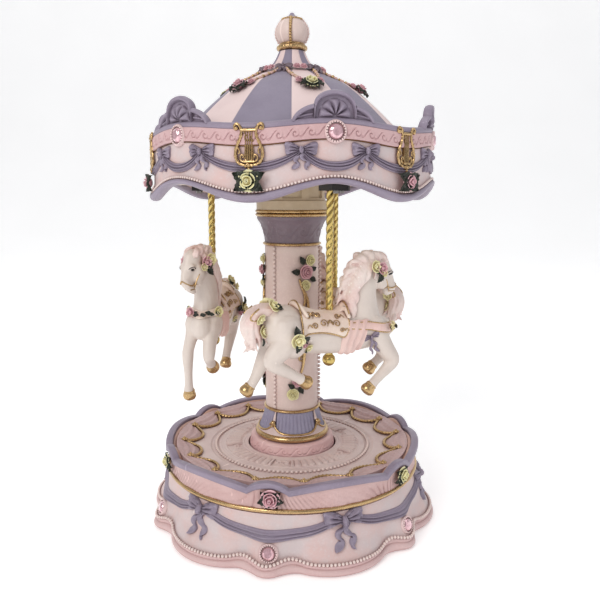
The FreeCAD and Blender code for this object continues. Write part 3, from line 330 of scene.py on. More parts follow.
def piece(name, points, faces, body, paint, nodes, crease=38.0):
    """Makes one object from points in millimetres and puts it on its body, in place of CAD nodes.

    Edges sharper than crease degrees stay sharp; a crease of 0 smooths them all.
    """
    mesh = bpy.data.meshes.new(name)
    mesh.from_pydata((np.asarray(points, float) * MM).tolist(), [], [list(f) for f in faces])
    tidy = bmesh.new()
    tidy.from_mesh(mesh)
    bmesh.ops.remove_doubles(tidy, verts=tidy.verts, dist=1e-7)
    bmesh.ops.recalc_face_normals(tidy, faces=tidy.faces)
    tidy.to_mesh(mesh)
    tidy.free()
    mesh.shade_smooth()
    if crease:
        mesh.set_sharp_from_angle(angle=math.radians(crease))
    mesh.materials.append(PAINT[paint])
    obj = bpy.data.objects.new(name, mesh)
    bpy.context.scene.collection.objects.link(obj)
    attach(obj, body)
    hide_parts(*nodes)


def grid(rows, columns, wrap_rows=False, wrap_columns=False):
    """Quads of a grid whose points are stored row by row."""
    r = np.arange(rows if wrap_rows else rows - 1)
    c = np.arange(columns if wrap_columns else columns - 1)
    r, c = np.meshgrid(r, c, indexing="ij")
    r2, c2 = (r + 1) % rows, (c + 1) % columns
    quads = np.stack([r * columns + c, r * columns + c2, r2 * columns + c2, r2 * columns + c], -1)
    return quads.reshape(-1, 4).tolist()


def capped(rows, columns):
    """Faces of a row of rings, closed by a cap at each end."""
    caps = [list(range(columns))[::-1], [(rows - 1) * columns + i for i in range(columns)]]
    return grid(rows, columns, False, True) + caps


def join(parts):
    """Joins (points, faces) pairs into one pair."""
    points, faces, start = [], [], 0
    for part_points, part_faces in parts:
        points.append(np.asarray(part_points, float))
        faces += [[i + start for i in face] for face in part_faces]
        start += len(part_points)
    return np.concatenate(points), faces


def around(profile, steps=720, offset=0.0):
    """Closed ring: profile(bearings) gives radius and height arrays, one column for each bearing."""
    bearings = np.arange(steps) * 360.0 / steps + offset
    radius, height = profile(bearings)
    radius, height = np.broadcast_arrays(radius, height)
    points = at(radius, bearings[None, :], height)
    return points.reshape(-1, 3), grid(*points.shape[:2], True, True)


def turned(outline, steps=180, shape=None):
    """Solid of revolution from a closed outline of (radius, height); shape may bend it by bearing."""
    outline = np.array(outline, float)

    def profile(bearings):
        radius = np.repeat(outline[:, :1], len(bearings), 1)
        height = np.repeat(outline[:, 1:], len(bearings), 1)
        return shape(bearings[None, :], radius, height) if shape else (radius, height)
    return around(profile, steps)


def tube(path, radius, sides=8, closed=False, twist=None):
    """Tube along a path. twist(angle, distance) scales the radius, as on a rope."""
    path = np.asarray(path, float)
    count = len(path)
    radius = np.broadcast_to(radius, (count,)).astype(float)
    ahead = np.roll(path, -1, 0) if closed else np.vstack([path[1:], 2 * path[-1:] - path[-2:-1]])
    behind = np.roll(path, 1, 0) if closed else np.vstack([2 * path[:1] - path[1:2], path[:-1]])
    tangent = ahead - behind
    tangent /= np.linalg.norm(tangent, axis=1, keepdims=True) + 1e-12
    side = np.zeros_like(path)
    first = np.cross(tangent[0], [0, 0, 1.0])
    if np.linalg.norm(first) < 0.1:
        first = np.cross(tangent[0], [1.0, 0, 0])
    side[0] = first / np.linalg.norm(first)
    for i in range(1, count):
        bent = side[i - 1] - tangent[i] * np.dot(side[i - 1], tangent[i])
        side[i] = bent / (np.linalg.norm(bent) + 1e-12)
    up = np.cross(tangent, side)
    angle = np.linspace(0, 2 * np.pi, sides, endpoint=False)
    distance = np.concatenate([[0], np.cumsum(np.linalg.norm(np.diff(path, axis=0), axis=1))])
    scale = twist(angle[None, :], distance[:, None]) if twist else np.ones((count, sides))
    ring = (side[:, None] * np.cos(angle)[None, :, None] + up[:, None] * np.sin(angle)[None, :, None])
    points = path[:, None] + ring * (radius[:, None] * scale)[..., None]
    return points.reshape(-1, 3), grid(count, sides, True, True) if closed else capped(count, sides)


def smooth_path(points, count):
    """Catmull-Rom curve through a few points."""
    points = np.asarray(points, float)
    padded = np.vstack([2 * points[0] - points[1], points, 2 * points[-1] - points[-2]])
    where = np.linspace(0, len(points) - 1 - 1e-9, count)
    start = where.astype(int)
    t = (where - start)[:, None]
    p0, p1, p2, p3 = (padded[start + i] for i in range(4))
    return 0.5 * (2 * p1 + (p2 - p0) * t + (2 * p0 - 5 * p1 + 4 * p2 - p3) * t ** 2
                  + (3 * p1 - p0 - 3 * p2 + p3) * t ** 3)


def curl(size, turns, shrink, count):
    """Spiral that winds inwards from the right by half turns: across and up."""
    angle = np.linspace(0, turns * np.pi, count)
    reach = size * (1 - angle / angle[-1] * shrink)
    return reach * np.cos(angle), reach * np.sin(angle)


def half_round(bore, radius, middle, wide, tall, count):
    """Outline of a ring with a rounded outer face, from its bore to its radius plus wide."""
    angle = np.linspace(-np.pi / 2, np.pi / 2, count)
    outline = [(radius + wide * math.cos(a), middle + tall * math.sin(a)) for a in angle]
    return [(bore, middle - tall), *outline, (bore, middle + tall)]


def ball_template(segments, rings):
    """Ball of radius 1 round the origin."""
    polar = np.linspace(0, np.pi, rings)[:, None]
    turn = np.linspace(0, 2 * np.pi, segments, endpoint=False)[None, :]
    points = np.stack([np.sin(polar) * np.cos(turn), np.sin(polar) * np.sin(turn),
                       np.cos(polar) * np.ones_like(turn)], -1)
    return points.reshape(-1, 3), grid(rings, segments, False, True)


def beads(centres, radius, segments=10, rings=7):
    """A ball at each centre."""
    points, faces = ball_template(segments, rings)
    radius = np.broadcast_to(radius, (len(centres),))
    return join([(points * r + c, faces) for c, r in zip(np.asarray(centres, float), radius)])


def spaced(path, pitch, closed=False):
    """Points along a path, one pitch apart, evenly fitted."""
    path = np.asarray(path, float)
    if closed:
        path = np.vstack([path, path[:1]])
    distance = np.concatenate([[0], np.cumsum(np.linalg.norm(np.diff(path, axis=0), axis=1))])
    count = max(2, round(distance[-1] / pitch))
    wanted = np.linspace(0, distance[-1], count + (0 if closed else 1), endpoint=not closed)
    return np.stack([np.interp(wanted, distance, path[:, i]) for i in range(3)], 1)


def slab(top, bottom):
    """Closed shell between two grids of points of the same shape."""
    rows, columns = top.shape[:2]
    points = np.concatenate([top.reshape(-1, 3), bottom.reshape(-1, 3)])
    start = rows * columns
    faces = grid(rows, columns) + [[i + start for i in reversed(f)] for f in grid(rows, columns)]
    edge = list(range(columns)) + [r * columns + columns - 1 for r in range(1, rows)]
    edge += [(rows - 1) * columns + c for c in range(columns - 2, -1, -1)]
    edge += [r * columns for r in range(rows - 2, 0, -1)]
    faces += [[edge[i], edge[i - 1], edge[i - 1] + start, edge[i] + start] for i in range(len(edge))]
    return points, faces


def leafed(top, depth):
    """Sheet of a given thickness under a grid of points."""
    down = np.cross(np.gradient(top, axis=0), np.gradient(top, axis=1))
    down /= np.linalg.norm(down, axis=2, keepdims=True) + 1e-9
    return slab(top, top - down * depth)


def placed(part, bearing, radius, height, turn=0.0, size=1.0, tilt=0.0):
    """Puts a piece drawn as (right, up, outwards) on the outside of a round body."""
    points, faces = part
    matrix = (Matrix.Rotation(math.radians(bearing), 3, "Z")
              @ Matrix(((1, 0, 0), (0, 0, -1), (0, 1, 0)))
              @ Matrix.Rotation(math.radians(-tilt), 3, "X")
              @ Matrix.Rotation(math.radians(turn), 3, "Z"))
    rotated = np.asarray(points) * size @ np.array(matrix).T
    return rotated + at(radius, bearing, height), faces


def wrapped(part, bearing, radius, height, surface=None):
    """Bends a piece drawn as (right, up, outwards) round the axis; surface gives the wall's radius."""
    points, faces = part
    points = np.asarray(points)
    bearings = bearing + np.degrees(points[:, 0] / radius)
    heights = height + points[:, 1]
    wall = surface(bearings, heights) if surface else radius
    return at(wall + points[:, 2], bearings, heights), faces


# --- ornaments ----------------------------------------------------------------------------------
def petal(width, length, cup, curl, centre, lean):
    """One rose petal: a cupped sheet that stands round the bloom's middle."""
    across = np.linspace(-1, 1, 7)[None, :]
    along = np.linspace(0, 1, 6)[:, None]
    rim = 1 - 0.28 * np.abs(across) ** 2.5
    reach = centre + cup * np.sin(along * rim * np.pi / 2)
    reach = reach + curl * np.clip(along - 0.7, 0, 1) * (1 - 0.5 * across ** 2)
    angle = lean + across * width * (0.55 + 0.45 * along)
    rise = length * (1 - np.cos(along * rim * np.pi / 2 * 1.1)) - curl * 0.9 * np.clip(along - 0.75, 0, 1)
    points = np.stack(np.broadcast_arrays(reach * np.cos(angle), reach * np.sin(angle), rise), -1)
    return leafed(points, 0.07)


def petal_rounds(*rounds):
    """Rounds of petals: for each the count, then width to centre as in petal(), and the first angle."""
    parts = []
    for count, *shape, start in rounds:
        for i in range(count):
            parts.append(petal(*shape, start + 2 * np.pi * i / count))
    return parts


def rose_template():
    """Rose of radius 1 that faces outwards, with three rounds of petals and a rolled bud."""
    parts = petal_rounds((5, 0.86, 0.42, 0.62, 0.75, 0.30, 0.2), (4, 0.95, 0.66, 0.42, 0.55, 0.22, 0.7),
                         (3, 1.2, 0.84, 0.26, 0.30, 0.14, 0.1))
    turn = np.linspace(0, 3.6 * np.pi, 40)
    reach = 0.03 + 0.16 * turn / turn[-1]
    spiral = np.stack([np.stack([reach * np.cos(turn), reach * np.sin(turn), np.full(40, z)], -1)
                       for z in (0.25, 0.6, 0.93)])
    spiral[2, :, :2] *= 1.15
    parts.append(leafed(spiral, 0.05))
    core, faces = ball_template(16, 8)
    parts.append((core * [0.62, 0.62, 0.36] + [0, 0, 0.1], faces))
    return join(parts)


def blossom_template():
    """Small open flower of radius 1: two rounds of separate petals and a button."""
    parts = petal_rounds((6, 0.56, 0.42, 0.72, 0.35, 0.24, 0.1), (5, 0.62, 0.72, 0.38, 0.25, 0.14, 0.6))
    core, faces = ball_template(12, 8)
    parts.append((core * [0.4, 0.4, 0.36] + [0, 0, 0.16], faces))
    return join(parts)


def leaf_template():
    """Leaf of length 1 from the origin along +X, folded on its rib, with a toothed edge."""
    along = np.linspace(0, 1, 25)[:, None]
    across = np.linspace(-1, 1, 9)[None, :]
    teeth = 0.86 + 0.28 * ((along * 5.0) % 1.0)
    half = 0.33 * np.sin(np.pi * np.clip(along, 0, 1) ** 0.8) * teeth + 0.015
    x = along - 0.06 * np.abs(across) * np.sin(np.pi * along)
    y = across * half
    veins = 0.03 * np.sin(along * 31 - np.abs(across) * 3)
    z = 0.10 + 0.13 * np.abs(across) + 0.12 * np.sin(np.pi * along) + veins
    top = np.stack(np.broadcast_arrays(x, y, z), -1)
    return slab(top, top - [0, 0, 0.11])


def pillow(centre, half_width, height, sunk=0.4, across=11):
    """Ribbon or loop that lies on a wall: centre line (x, y), half width, height(s, t) over the wall."""
    centre = np.asarray(centre, float)
    rows = len(centre)
    forward = np.gradient(centre, axis=0)
    forward /= np.linalg.norm(forward, axis=1, keepdims=True) + 1e-9
    normal = np.stack([-forward[:, 1], forward[:, 0]], 1)
    s = np.linspace(0, 1, rows)[:, None]
    t = np.linspace(-1, 1, across)[None, :]
    half = np.broadcast_to(half_width, (rows,))[:, None]
    flat = centre[:, None] + normal[:, None] * (half * t)[..., None]
    top = np.concatenate([flat, np.broadcast_to(height(s, t), (rows, across))[..., None]], -1)
    low = top.copy()
    low[..., 2] = -sunk
    ring = np.concatenate([top, low[:, ::-1]], 1)
    return ring.reshape(-1, 3), capped(rows, 2 * across)


def folds(depth, count, floor, phase):
    """Height of a gathered ribbon: rounded edges with folds along its length."""
    def height(s, t):
        body = np.sqrt(np.clip(1 - t ** 2, 0, 1))
        return floor + depth * body * (0.72 + 0.28 * np.cos(np.pi * count * t + phase + 2 * s))
    return height


def bow_template(size, tail):
    """Ribbon bow: two puffed loops with pleats at the knot, and two tails that twist as they hang."""
    parts = []
    s = np.linspace(0, 1, 21)
    for side in (-1, 1):
        centre = np.stack([side * size * (0.08 + 1.04 * s), size * (0.06 + 0.16 * s - 0.10 * s ** 3)], 1)
        half = size * (0.14 + 0.40 * s ** 0.75) * np.sqrt(np.clip(1 - s ** 12 * 0.6, 0, 1))

        def loop(s, t, side=side):
            swell = 0.35 + 0.65 * np.sin(np.pi * np.clip(0.1 + 0.78 * s, 0, 1))
            crease = 0.74 + 0.26 * np.cos(5 * np.pi * t * (1 - 0.55 * s) + 1.3 * side)
            mouth = 1 - 0.65 * np.exp(-((s - 0.9) / 0.13) ** 2 - ((t + 0.1) / 0.5) ** 2)
            return 0.25 + size * 0.36 * swell * np.sqrt(np.clip(1 - t ** 2, 0, 1)) * crease * mouth
        parts.append(pillow(centre, half, loop, 0.4, 15))
        wave = np.linspace(0, 1, 34)
        swing = size * 0.15 * np.sin(wave * 11.0 + (1.2 if side > 0 else 0))
        sway = side * size * (0.06 + 0.44 * wave) + swing
        hang = np.stack([sway, -tail * wave - 0.05 * size], 1)
        width = size * (0.05 + 0.12 * np.abs(np.cos(wave * 8.4 + 0.4 * side)) + 0.02 * wave)
        width[-3:] *= (0.8, 0.5, 0.12)

        def twist(s, t):
            return 0.3 + size * 0.13 * (1 + 0.9 * t * np.cos(7.2 * s)) * np.sqrt(np.clip(1.05 - t ** 2, 0, 1))
        parts.append(pillow(hang, width, twist))
    knot, faces = ball_template(16, 11)
    grooves = 1 + 0.08 * np.cos(np.arctan2(knot[:, 1], knot[:, 0]) * 6)[:, None]
    knot = knot * grooves * [size * 0.17, size * 0.25, size * 0.27] + [0, size * 0.05, size * 0.24]
    parts.append((knot, faces))
    return join(parts)


def gem(radius):
    """Brilliant-cut stone: girdle, kite facets, table, with its pavilion hidden in the setting."""
    sides = 16
    turn = np.arange(sides) * 2 * np.pi / sides
    rings = [(1.0, -0.25, 0.0), (1.0, 0.0, 0.0), (0.84, 0.24, np.pi / sides), (0.56, 0.42, 0.0)]
    points = [np.stack([r * np.cos(turn + a), r * np.sin(turn + a), np.full(sides, h)], 1)
              for r, h, a in rings]
    points = np.concatenate(points + [np.array([[0, 0, -0.5], [0, 0, 0.42]])])
    last = (len(rings) - 1) * sides
    bottom, table = last + sides, last + sides + 1
    faces = []
    for row in range(0, last, sides):
        for i in range(sides):
            j = (i + 1) % sides
            a, b, c, d = row + i, row + j, row + sides + i, row + sides + j
            faces += [[a, b, c], [b, d, c]] if row else [[a, b, d, c]]
    faces += [[i, bottom, (i + 1) % sides] for i in range(sides)]
    faces += [[last + i, last + (i + 1) % sides, table] for i in range(sides)]
    return points * radius, faces


def dish(radius, depth):
    """Round setting behind a stone."""
    outline = [(0.4, -depth), (radius, -depth), (radius, 0.1), (radius - 0.25, 0.55), (radius - 0.6, 0.62),
               (radius - 0.95, 0.3), (radius - 1.1, 0.0), (0.4, -0.1)]
    return turned(outline, 40)


ROSE = rose_template()
BLOSSOM = blossom_template()
LEAF = leaf_template()


def rose_cluster(name, side, bearings, radius, height, size, paint, spray):
    """Roses of the base or canopy, each with a spray of leaves, given by turn and length, behind it."""
    blooms = [placed(ROSE, b, radius, height, 37 * i, size) for i, b in enumerate(bearings)]
    piece(name, *join(blooms), BODY_OF[side], paint, (side + "_roses",))
    leaves = [placed(LEAF, b, radius - 0.4, height, turn, length) for b in bearings for turn, length in spray]
    piece(name + "_leaves", *join(leaves), BODY_OF[side], "leaf_green", (side + "_leaves",))


def jewels(side, bearings, radius, height, size, tilt):
    """A stone of the base or canopy in a beaded cup at each bearing."""
    turn = np.arange(22) * 2 * np.pi / 22
    bead_ring = np.stack([0.84 * size * np.cos(turn), 0.84 * size * np.sin(turn), np.full(22, 0.7)], 1)
    for name, template, lift, paint, node, crease in (
            ("_cups", dish(size, 1.4), 0.0, "silver", "_settings", 38.0),
            ("_cup_beads", beads(bead_ring, size * 0.1, 8, 6), 0.0, "silver", "_settings", 38.0),
            ("_stones", gem(size * 0.68), 0.4, "crystal", "_jewels", 12)):
        parts = [placed(template, b, radius + lift, height, tilt=tilt) for b in bearings]
        piece(side + name, *join(parts), BODY_OF[side], paint, (side + node,), crease)


# --- base ---------------------------------------------------------------------------------------
# Levels of the cream wall: height, then radius mid-panel, at the cusps and at the small lobes.
SHELL_SECTIONS = ((6.2, 83.8, 76.2, 83.7), (9.0, 82.2, 76.0, 82.2), (14.7, 78.4, 75.3, 80.0),
                  (22.0, 76.6, 74.8, 76.4), (SHELL_TOP, 74.0, 74.0, 74.0))
FOOT_SECTION = (FOOT_RADIUS, 77.4, 86.0)
PEARL_LINE = (85.0, 77.3, 84.8)
SOFTENING = np.linspace(-4.2, 4.2, 9)
WALL_LOW = 6.3
RIM_CUSP, RIM_LOBE, RIM_PANEL = 44.2, 48.0, 47.3
GALLERY_RADIUS = 75.0
RIBBON_RADIUS = 76.0
ROSE_RADIUS, ROSE_HEIGHT = 75.8, 39.6
JEWEL_HEIGHT = 12.2
FOOT_ROWS = ((-14.0, 0.8), (-1.6, 0.8), (-0.7, 1.05), (-0.2, 1.6), (0.0, 2.3), (-0.15, 3.0), (-0.6, 3.6),
             (-1.25, 3.95), (-1.55, 4.05), (-1.5, 4.3), (-1.35, 4.7), (-1.5, 5.2), (-1.95, 5.65),
             (-2.6, 5.9), (-3.4, 6.0), (-4.2, 5.6), (-14.0, 5.0))


def from_lobe(bearings):
    """Signed angle from the nearest small lobe."""
    return (np.asarray(bearings, float) - LOBE_BEARING + STEP / 2) % STEP - STEP / 2


def arc_radius(angle, half, crown, cusp):
    """Radius of a scallop's arc that meets its neighbours at the cusps."""
    shift = (crown ** 2 - cusp ** 2) / (2 * (crown - cusp * math.cos(math.radians(half))) + 1e-9)
    angle = np.radians(angle)
    return shift * np.cos(angle) + np.sqrt((crown - shift) ** 2 - (shift * np.sin(angle)) ** 2)


def scallop(bearings, panel, cusp, lobe):
    """Plan radius of the six broad scallops and six small lobes, flowing softly through the cusps."""
    bearings = np.asarray(bearings, float)
    return sum(sharp_scallop(bearings + turn, panel, cusp, lobe) for turn in SOFTENING) / len(SOFTENING)


def sharp_scallop(bearings, panel, cusp, lobe):
    """The same plan radius with sharp cusps."""
    off = from_lobe(bearings)
    near = np.abs(off) <= LOBE_HALF
    panel_off = STEP / 2 - np.abs(off)
    inside = arc_radius(np.where(near, off, 0), LOBE_HALF, lobe, cusp)
    outside = arc_radius(np.where(near, 0, panel_off), STEP / 2 - LOBE_HALF, panel, cusp)
    return np.where(near, inside, outside)


def cusp_rise(bearings):
    """The foot moulding climbs a little where two scallops meet."""
    off = np.abs(np.abs(from_lobe(bearings)) - LOBE_HALF)
    return 2.4 * np.exp(-(off / 5.0) ** 2)


def wall(bearings, heights):
    """Radius of the cream wall at any bearing and height."""
    bearings, heights = np.broadcast_arrays(np.asarray(bearings, float), np.asarray(heights, float))
    levels = np.array([s[0] for s in SHELL_SECTIONS])
    rings = np.stack([scallop(bearings, *s[1:]) for s in SHELL_SECTIONS])
    index = np.clip(np.searchsorted(levels, heights) - 1, 0, len(levels) - 2)
    t = np.clip((heights - levels[index]) / (levels[index + 1] - levels[index]), 0, 1)
    low = np.take_along_axis(rings, index[None], 0)[0]
    high = np.take_along_axis(rings, index[None] + 1, 0)[0]
    return low + (high - low) * t


def build_shell():
    """The cream wall with its inner face, and the moulding under it."""
    def profile(bearings):
        foot = WALL_LOW + cusp_rise(bearings)
        t = np.linspace(0, 1, 26)[:, None]
        height = foot + (SHELL_TOP - foot) * t
        radius = wall(np.broadcast_to(bearings, height.shape), height)
        level = np.ones((1, len(bearings)))
        inner = [(SHELL_BORE + 0.4, SHELL_TOP), (SHELL_BORE, SHELL_TOP - 0.5), (SHELL_BORE, 2.0),
                 (SHELL_BORE + 0.6, 1.2)]
        return (np.vstack([radius] + [r * level for r, z in inner] + [radius[:1] - 1.5]),
                np.vstack([height] + [z * level for r, z in inner] + [foot[None, :] - 3.0]))
    piece("shell_wall", *around(profile, 1440, 0.25), "base", "cream_resin", ("base_shell",), 60)

    def moulding(bearings):
        crown = scallop(bearings, *FOOT_SECTION)[None, :]
        climb = 1.13 + cusp_rise(bearings)[None, :] / 5.6
        return (np.vstack([crown + r for r, z in FOOT_ROWS]),
                np.vstack([SHELL_LOW + (z - SHELL_LOW) * climb for r, z in FOOT_ROWS]))
    piece("foot_moulding", *around(moulding, 1440, 0.25), "base", "foot_resin", ("base_shell",), 60)


def build_foot_pearls():
    """The string of pearls on the foot moulding."""
    bearings = np.arange(0, 360, 0.25) + 0.25
    path = at(scallop(bearings, *PEARL_LINE) - 0.35, bearings, 6.9 + cusp_rise(bearings))
    centres = spaced(path, 2.0, True)
    piece("foot_pearls", *beads(centres, 0.86), "base", "pearl", ("base_pearls",))


def build_trim():
    """The gold line under the gallery, a little uneven as if drawn by hand."""
    high, reach = span("base_trim_ring")[1:]
    thick = 1.2

    def profile(bearings):
        turn = np.linspace(0, 2 * np.pi, 14, endpoint=False)[:, None]
        wobble = 0.024 * np.sin(np.radians(bearings * 41)) + 0.018 * np.sin(np.radians(bearings * 67))
        radius = reach - 0.95 + thick * np.cos(turn) + wobble
        return radius, high + 0.9 + thick * np.sin(turn) * np.ones_like(bearings)
    piece("gold_line", *around(profile, 900), "base", "gold_paint", ("base_trim_ring",), 0)


def rim_top(bearings):
    """Height of the gallery rim: a low arch over each panel and a small one over each lobe."""
    off = from_lobe(bearings)
    near = np.abs(off) <= LOBE_HALF
    panel_off = STEP / 2 - np.abs(off)

    def arch(angle, half, crown):
        chord = GALLERY_RADIUS * math.sin(math.radians(half))
        rise = crown - RIM_CUSP
        radius = (chord ** 2 + rise ** 2) / (2 * rise)
        return crown - radius + np.sqrt(radius ** 2 - (GALLERY_RADIUS * np.sin(np.radians(angle))) ** 2)
    return np.where(near, arch(np.where(near, off, 0), LOBE_HALF, RIM_LOBE),
                    arch(np.where(near, 0, panel_off), STEP / 2 - LOBE_HALF, RIM_PANEL))


def gallery_rim(bearings):
    """Section of the rounded rail, a little squared."""
    turn = np.linspace(0, 2 * np.pi, 26, endpoint=False)[:, None]
    bulge = 1 + 0.10 * np.cos(4 * turn)
    radius = 74.1 + 2.3 * np.cos(turn) / bulge
    return radius, rim_top(bearings) - 1.95 + 1.95 * np.sin(turn) / bulge


def pleat(bearings, t):
    """Irregular gathers pressed into the gallery, deepest beside the cusps."""
    off = np.abs(from_lobe(bearings))
    near_cusp = 0.6 + 0.4 * np.exp(-((off - LOBE_HALF) / 9.0) ** 2)
    drift = 22 * (t - 0.5) * np.sin(np.radians(bearings * 3 + 40))
    phase = bearings * 1.55 + 9 * np.sin(np.radians(bearings * 7)) + drift
    line = np.clip(np.cos(np.radians(phase * 78)), 0, 1) ** 3
    return near_cusp * line * np.sin(np.pi * np.clip(t * 1.08, 0, 1))


def inner_face(bearings, t, radius):
    """Radius of the gallery's pleated inner face, from its top at t=0 to the deck at t=1."""
    return radius - 3.6 * t ** 0.7 + 0.35 * np.sin(np.radians(bearings * 54)) * np.sin(np.pi * t)


def gallery_wall(bearings):
    """Section of the gathered band, with its inner face and the step behind it."""
    top = rim_top(bearings)[None, :] - 2.4
    low = SHELL_TOP + 0.9
    t = np.linspace(0, 1, 16)[:, None]
    cove = 74.25 + 0.65 * t + 0.25 * np.cos(t * np.pi * 2)
    radius = cove - 0.75 * pleat(bearings[None, :], t) + 0.2 * np.sin(np.radians(bearings * 25 + 60 * t))
    ones = np.ones((1, len(bearings)))
    back_t = np.linspace(0, 1, 12)[:, None]
    return (np.vstack([radius, inner_face(bearings, back_t, 71.4), SHELL_BORE * ones, SHELL_BORE * ones]),
            np.vstack([low + (top - low) * t, top + (40.4 - top) * back_t, 36 * ones, low * ones]))


def gallery_lining(bearings):
    """Section of the thin darker sheet on the gallery's inner face, which is painted shade."""
    top = rim_top(bearings)[None, :] - 2.2
    t = np.linspace(0, 1, 12)[:, None]
    height = top + (40.6 - top) * t
    radius = inner_face(bearings, t, 71.2)
    return np.vstack([radius - 0.25, radius[::-1] + 0.4]), np.vstack([height, height[::-1]])


def build_gallery():
    """The low gallery round the deck: rail, gathered band, and a darker sheet on the band's inner face that
    is painted shade.
    """
    piece("rim", *around(gallery_rim, 1440, 0.25), "base", "lavender_resin", ("gallery_rim",), 0)
    piece("gallery_wall", *around(gallery_wall, 1800, 0.1), "base", "band_resin", ("gallery_band",), 60)
    # a darker sheet over the inner face: painted shade
    piece("gallery_lining", *around(gallery_lining, 1080), "base", "lining_resin", ("gallery_band",), 60)


def deck_relief(radius, bearings):
    """Pressed ornament of the deck: fans of flutes with a pair of scrolls between them."""
    off = (bearings - PANEL_BEARING + STEP / 2) % STEP - STEP / 2
    inside = np.clip((radius - 28.6) / 1.2, 0, 1) * np.clip((41.0 - radius) / 0.8, 0, 1)
    flute = np.abs(np.sin(np.radians(off * 180 / 6.2)))
    reach = np.clip((38.6 + 1.6 * flute - radius) / 0.9, 0, 1) * np.clip((radius - 30.6) / 1.2, 0, 1)
    fan = 1.25 * flute ** 0.5 * reach * (np.abs(off) < 21.7)
    side = np.abs(off) - 25.9
    curl_x = radius * np.radians(side)
    curl_y = radius - 35.0
    distance = np.sqrt(curl_x ** 2 + curl_y ** 2)
    turn = np.arctan2(curl_y, curl_x)
    scroll = (0.5 + 0.5 * np.cos(distance * 2.6 - turn)) * np.clip((2.6 - distance) / 0.8, 0, 1)
    border = 0.6 * np.exp(-((radius - 40.6) / 0.4) ** 2) + 0.5 * np.exp(-((radius - 29.3) / 0.4) ** 2)
    return inside * (fan + scroll + border)


def deck_profile(bearings):
    """Section of the deck: floor, bead channel, roll, pressed band and lip round the column."""
    rings = np.concatenate([np.linspace(67.5, 50.2, 9), np.linspace(49.8, 41.6, 24),
                            np.linspace(41.3, 28.2, 46), np.linspace(27.9, 26.8, 5)])
    radius = rings[:, None] * np.ones_like(bearings)
    channel = -0.75 * np.clip((49.6 - radius) / 0.7, 0, 1) * np.clip((radius - 42.0) / 0.6, 0, 1)
    roll = 0.75 * np.clip(1 - ((radius - 43.4) / 1.35) ** 2, 0, 1) ** 0.5
    lip = 0.35 * np.clip((28.6 - radius) / 0.5, 0, 1)
    grain = 0.02 * np.sin(np.radians(bearings * 23)) * np.sin(radius * 0.9)
    height = DECK_TOP - 0.05 + channel + roll + lip + deck_relief(radius, bearings) * 0.8 + grain
    ones = np.ones((1, len(bearings)))
    return (np.vstack([radius, 26.65 * ones, 26.65 * ones, 67.5 * ones]),
            np.vstack([height, 40.9 * ones, 38.0 * ones, 38.0 * ones]))


def build_deck():
    """The deck and the ring of beads in its channel."""
    piece("deck", *around(deck_profile, 1260), "base", "deck_resin", ("deck_plate",), 50)
    bearings = np.arange(116) * 360 / 116
    piece("deck_beads", *beads(at(46.3, bearings, 40.85), 0.82), "base", "pearl", ("deck_pearls",))


def rope_radius(offset):
    """Plan radius of the rope at an angle from the middle of its loop."""
    return 65.0 - 8.9 * (1 - np.abs(np.asarray(offset) * KNOBS / 180.0) ** 2.4)


def drape(centre):
    """One gathered cloth between two knobs."""
    off = np.linspace(-KNOB_HALF, KNOB_HALF, 41)[None, :]
    t = np.linspace(0, 1, 19)[:, None]
    hem = rope_radius(off) + 0.5
    reach = hem + (69.8 - hem) * t
    sag = 1 - (off / KNOB_HALF) ** 2
    gather = 0.5 * np.cos(2 * np.pi * 3.2 * t ** 0.9 + 0.6) * (0.35 + 0.65 * np.sqrt(np.clip(sag, 0, 1)))
    gather = gather + 0.3 * np.cos(np.pi * 9 * off / KNOB_HALF * (1.2 - 0.5 * t)) * t
    rise = 41.35 + 3.3 * np.sin(t * np.pi / 2) ** 0.8 + gather * np.sin(np.pi * np.clip(t + 0.04, 0, 0.9))
    rise = rise + 0.55 * (1 - sag) * (1 - t)
    top = at(reach, centre + off, rise)
    low = at(reach, centre + off, 40.7 * np.ones_like(rise))
    ring = np.concatenate([top, low[::-1]], 0).transpose(1, 0, 2)
    return ring.reshape(-1, 3), capped(*ring.shape[:2])


def rope_loop(centre):
    """The twisted rope between two knobs."""
    swing = np.linspace(-KNOB_HALF, KNOB_HALF, 90)
    lift = DECK_TOP + 0.85 + 1.9 * (np.abs(swing) / KNOB_HALF) ** 5
    path = spaced(at(rope_radius(swing), centre + swing, lift), 0.3)
    return tube(path, 0.84, 10, False, lambda a, d: 1 + 0.24 * np.cos(2 * (a + d * 1.5)))


def rope_knob(bearing):
    """A knob with six small beads round it and one on top."""
    knot = at(rope_radius(KNOB_HALF) + 0.3, bearing, 44.0)
    petals = [knot + at(1.45, 60 * k, 0.2) for k in range(6)]
    return [beads([knot], 1.55, 14, 9), beads(petals, 0.75, 8, 6), beads([knot + [0, 0, 1.3]], 0.75, 8, 6)]


def build_drapes():
    """Cloth and rope round the deck."""
    cloths, cords, knobs = [], [], []
    for i in range(KNOBS):
        centre = FIRST_KNOB + KNOB_HALF + i * 2 * KNOB_HALF
        cloths.append(drape(centre))
        cords.append(rope_loop(centre))
        knobs += rope_knob(centre - KNOB_HALF)
    piece("drape_cloth", *join(cloths), "base", "drape_resin", ("deck_drapes",), 60)
    piece("drape_rope", *join(cords + knobs), "base", "gold_paint", ("deck_rope",), 0)


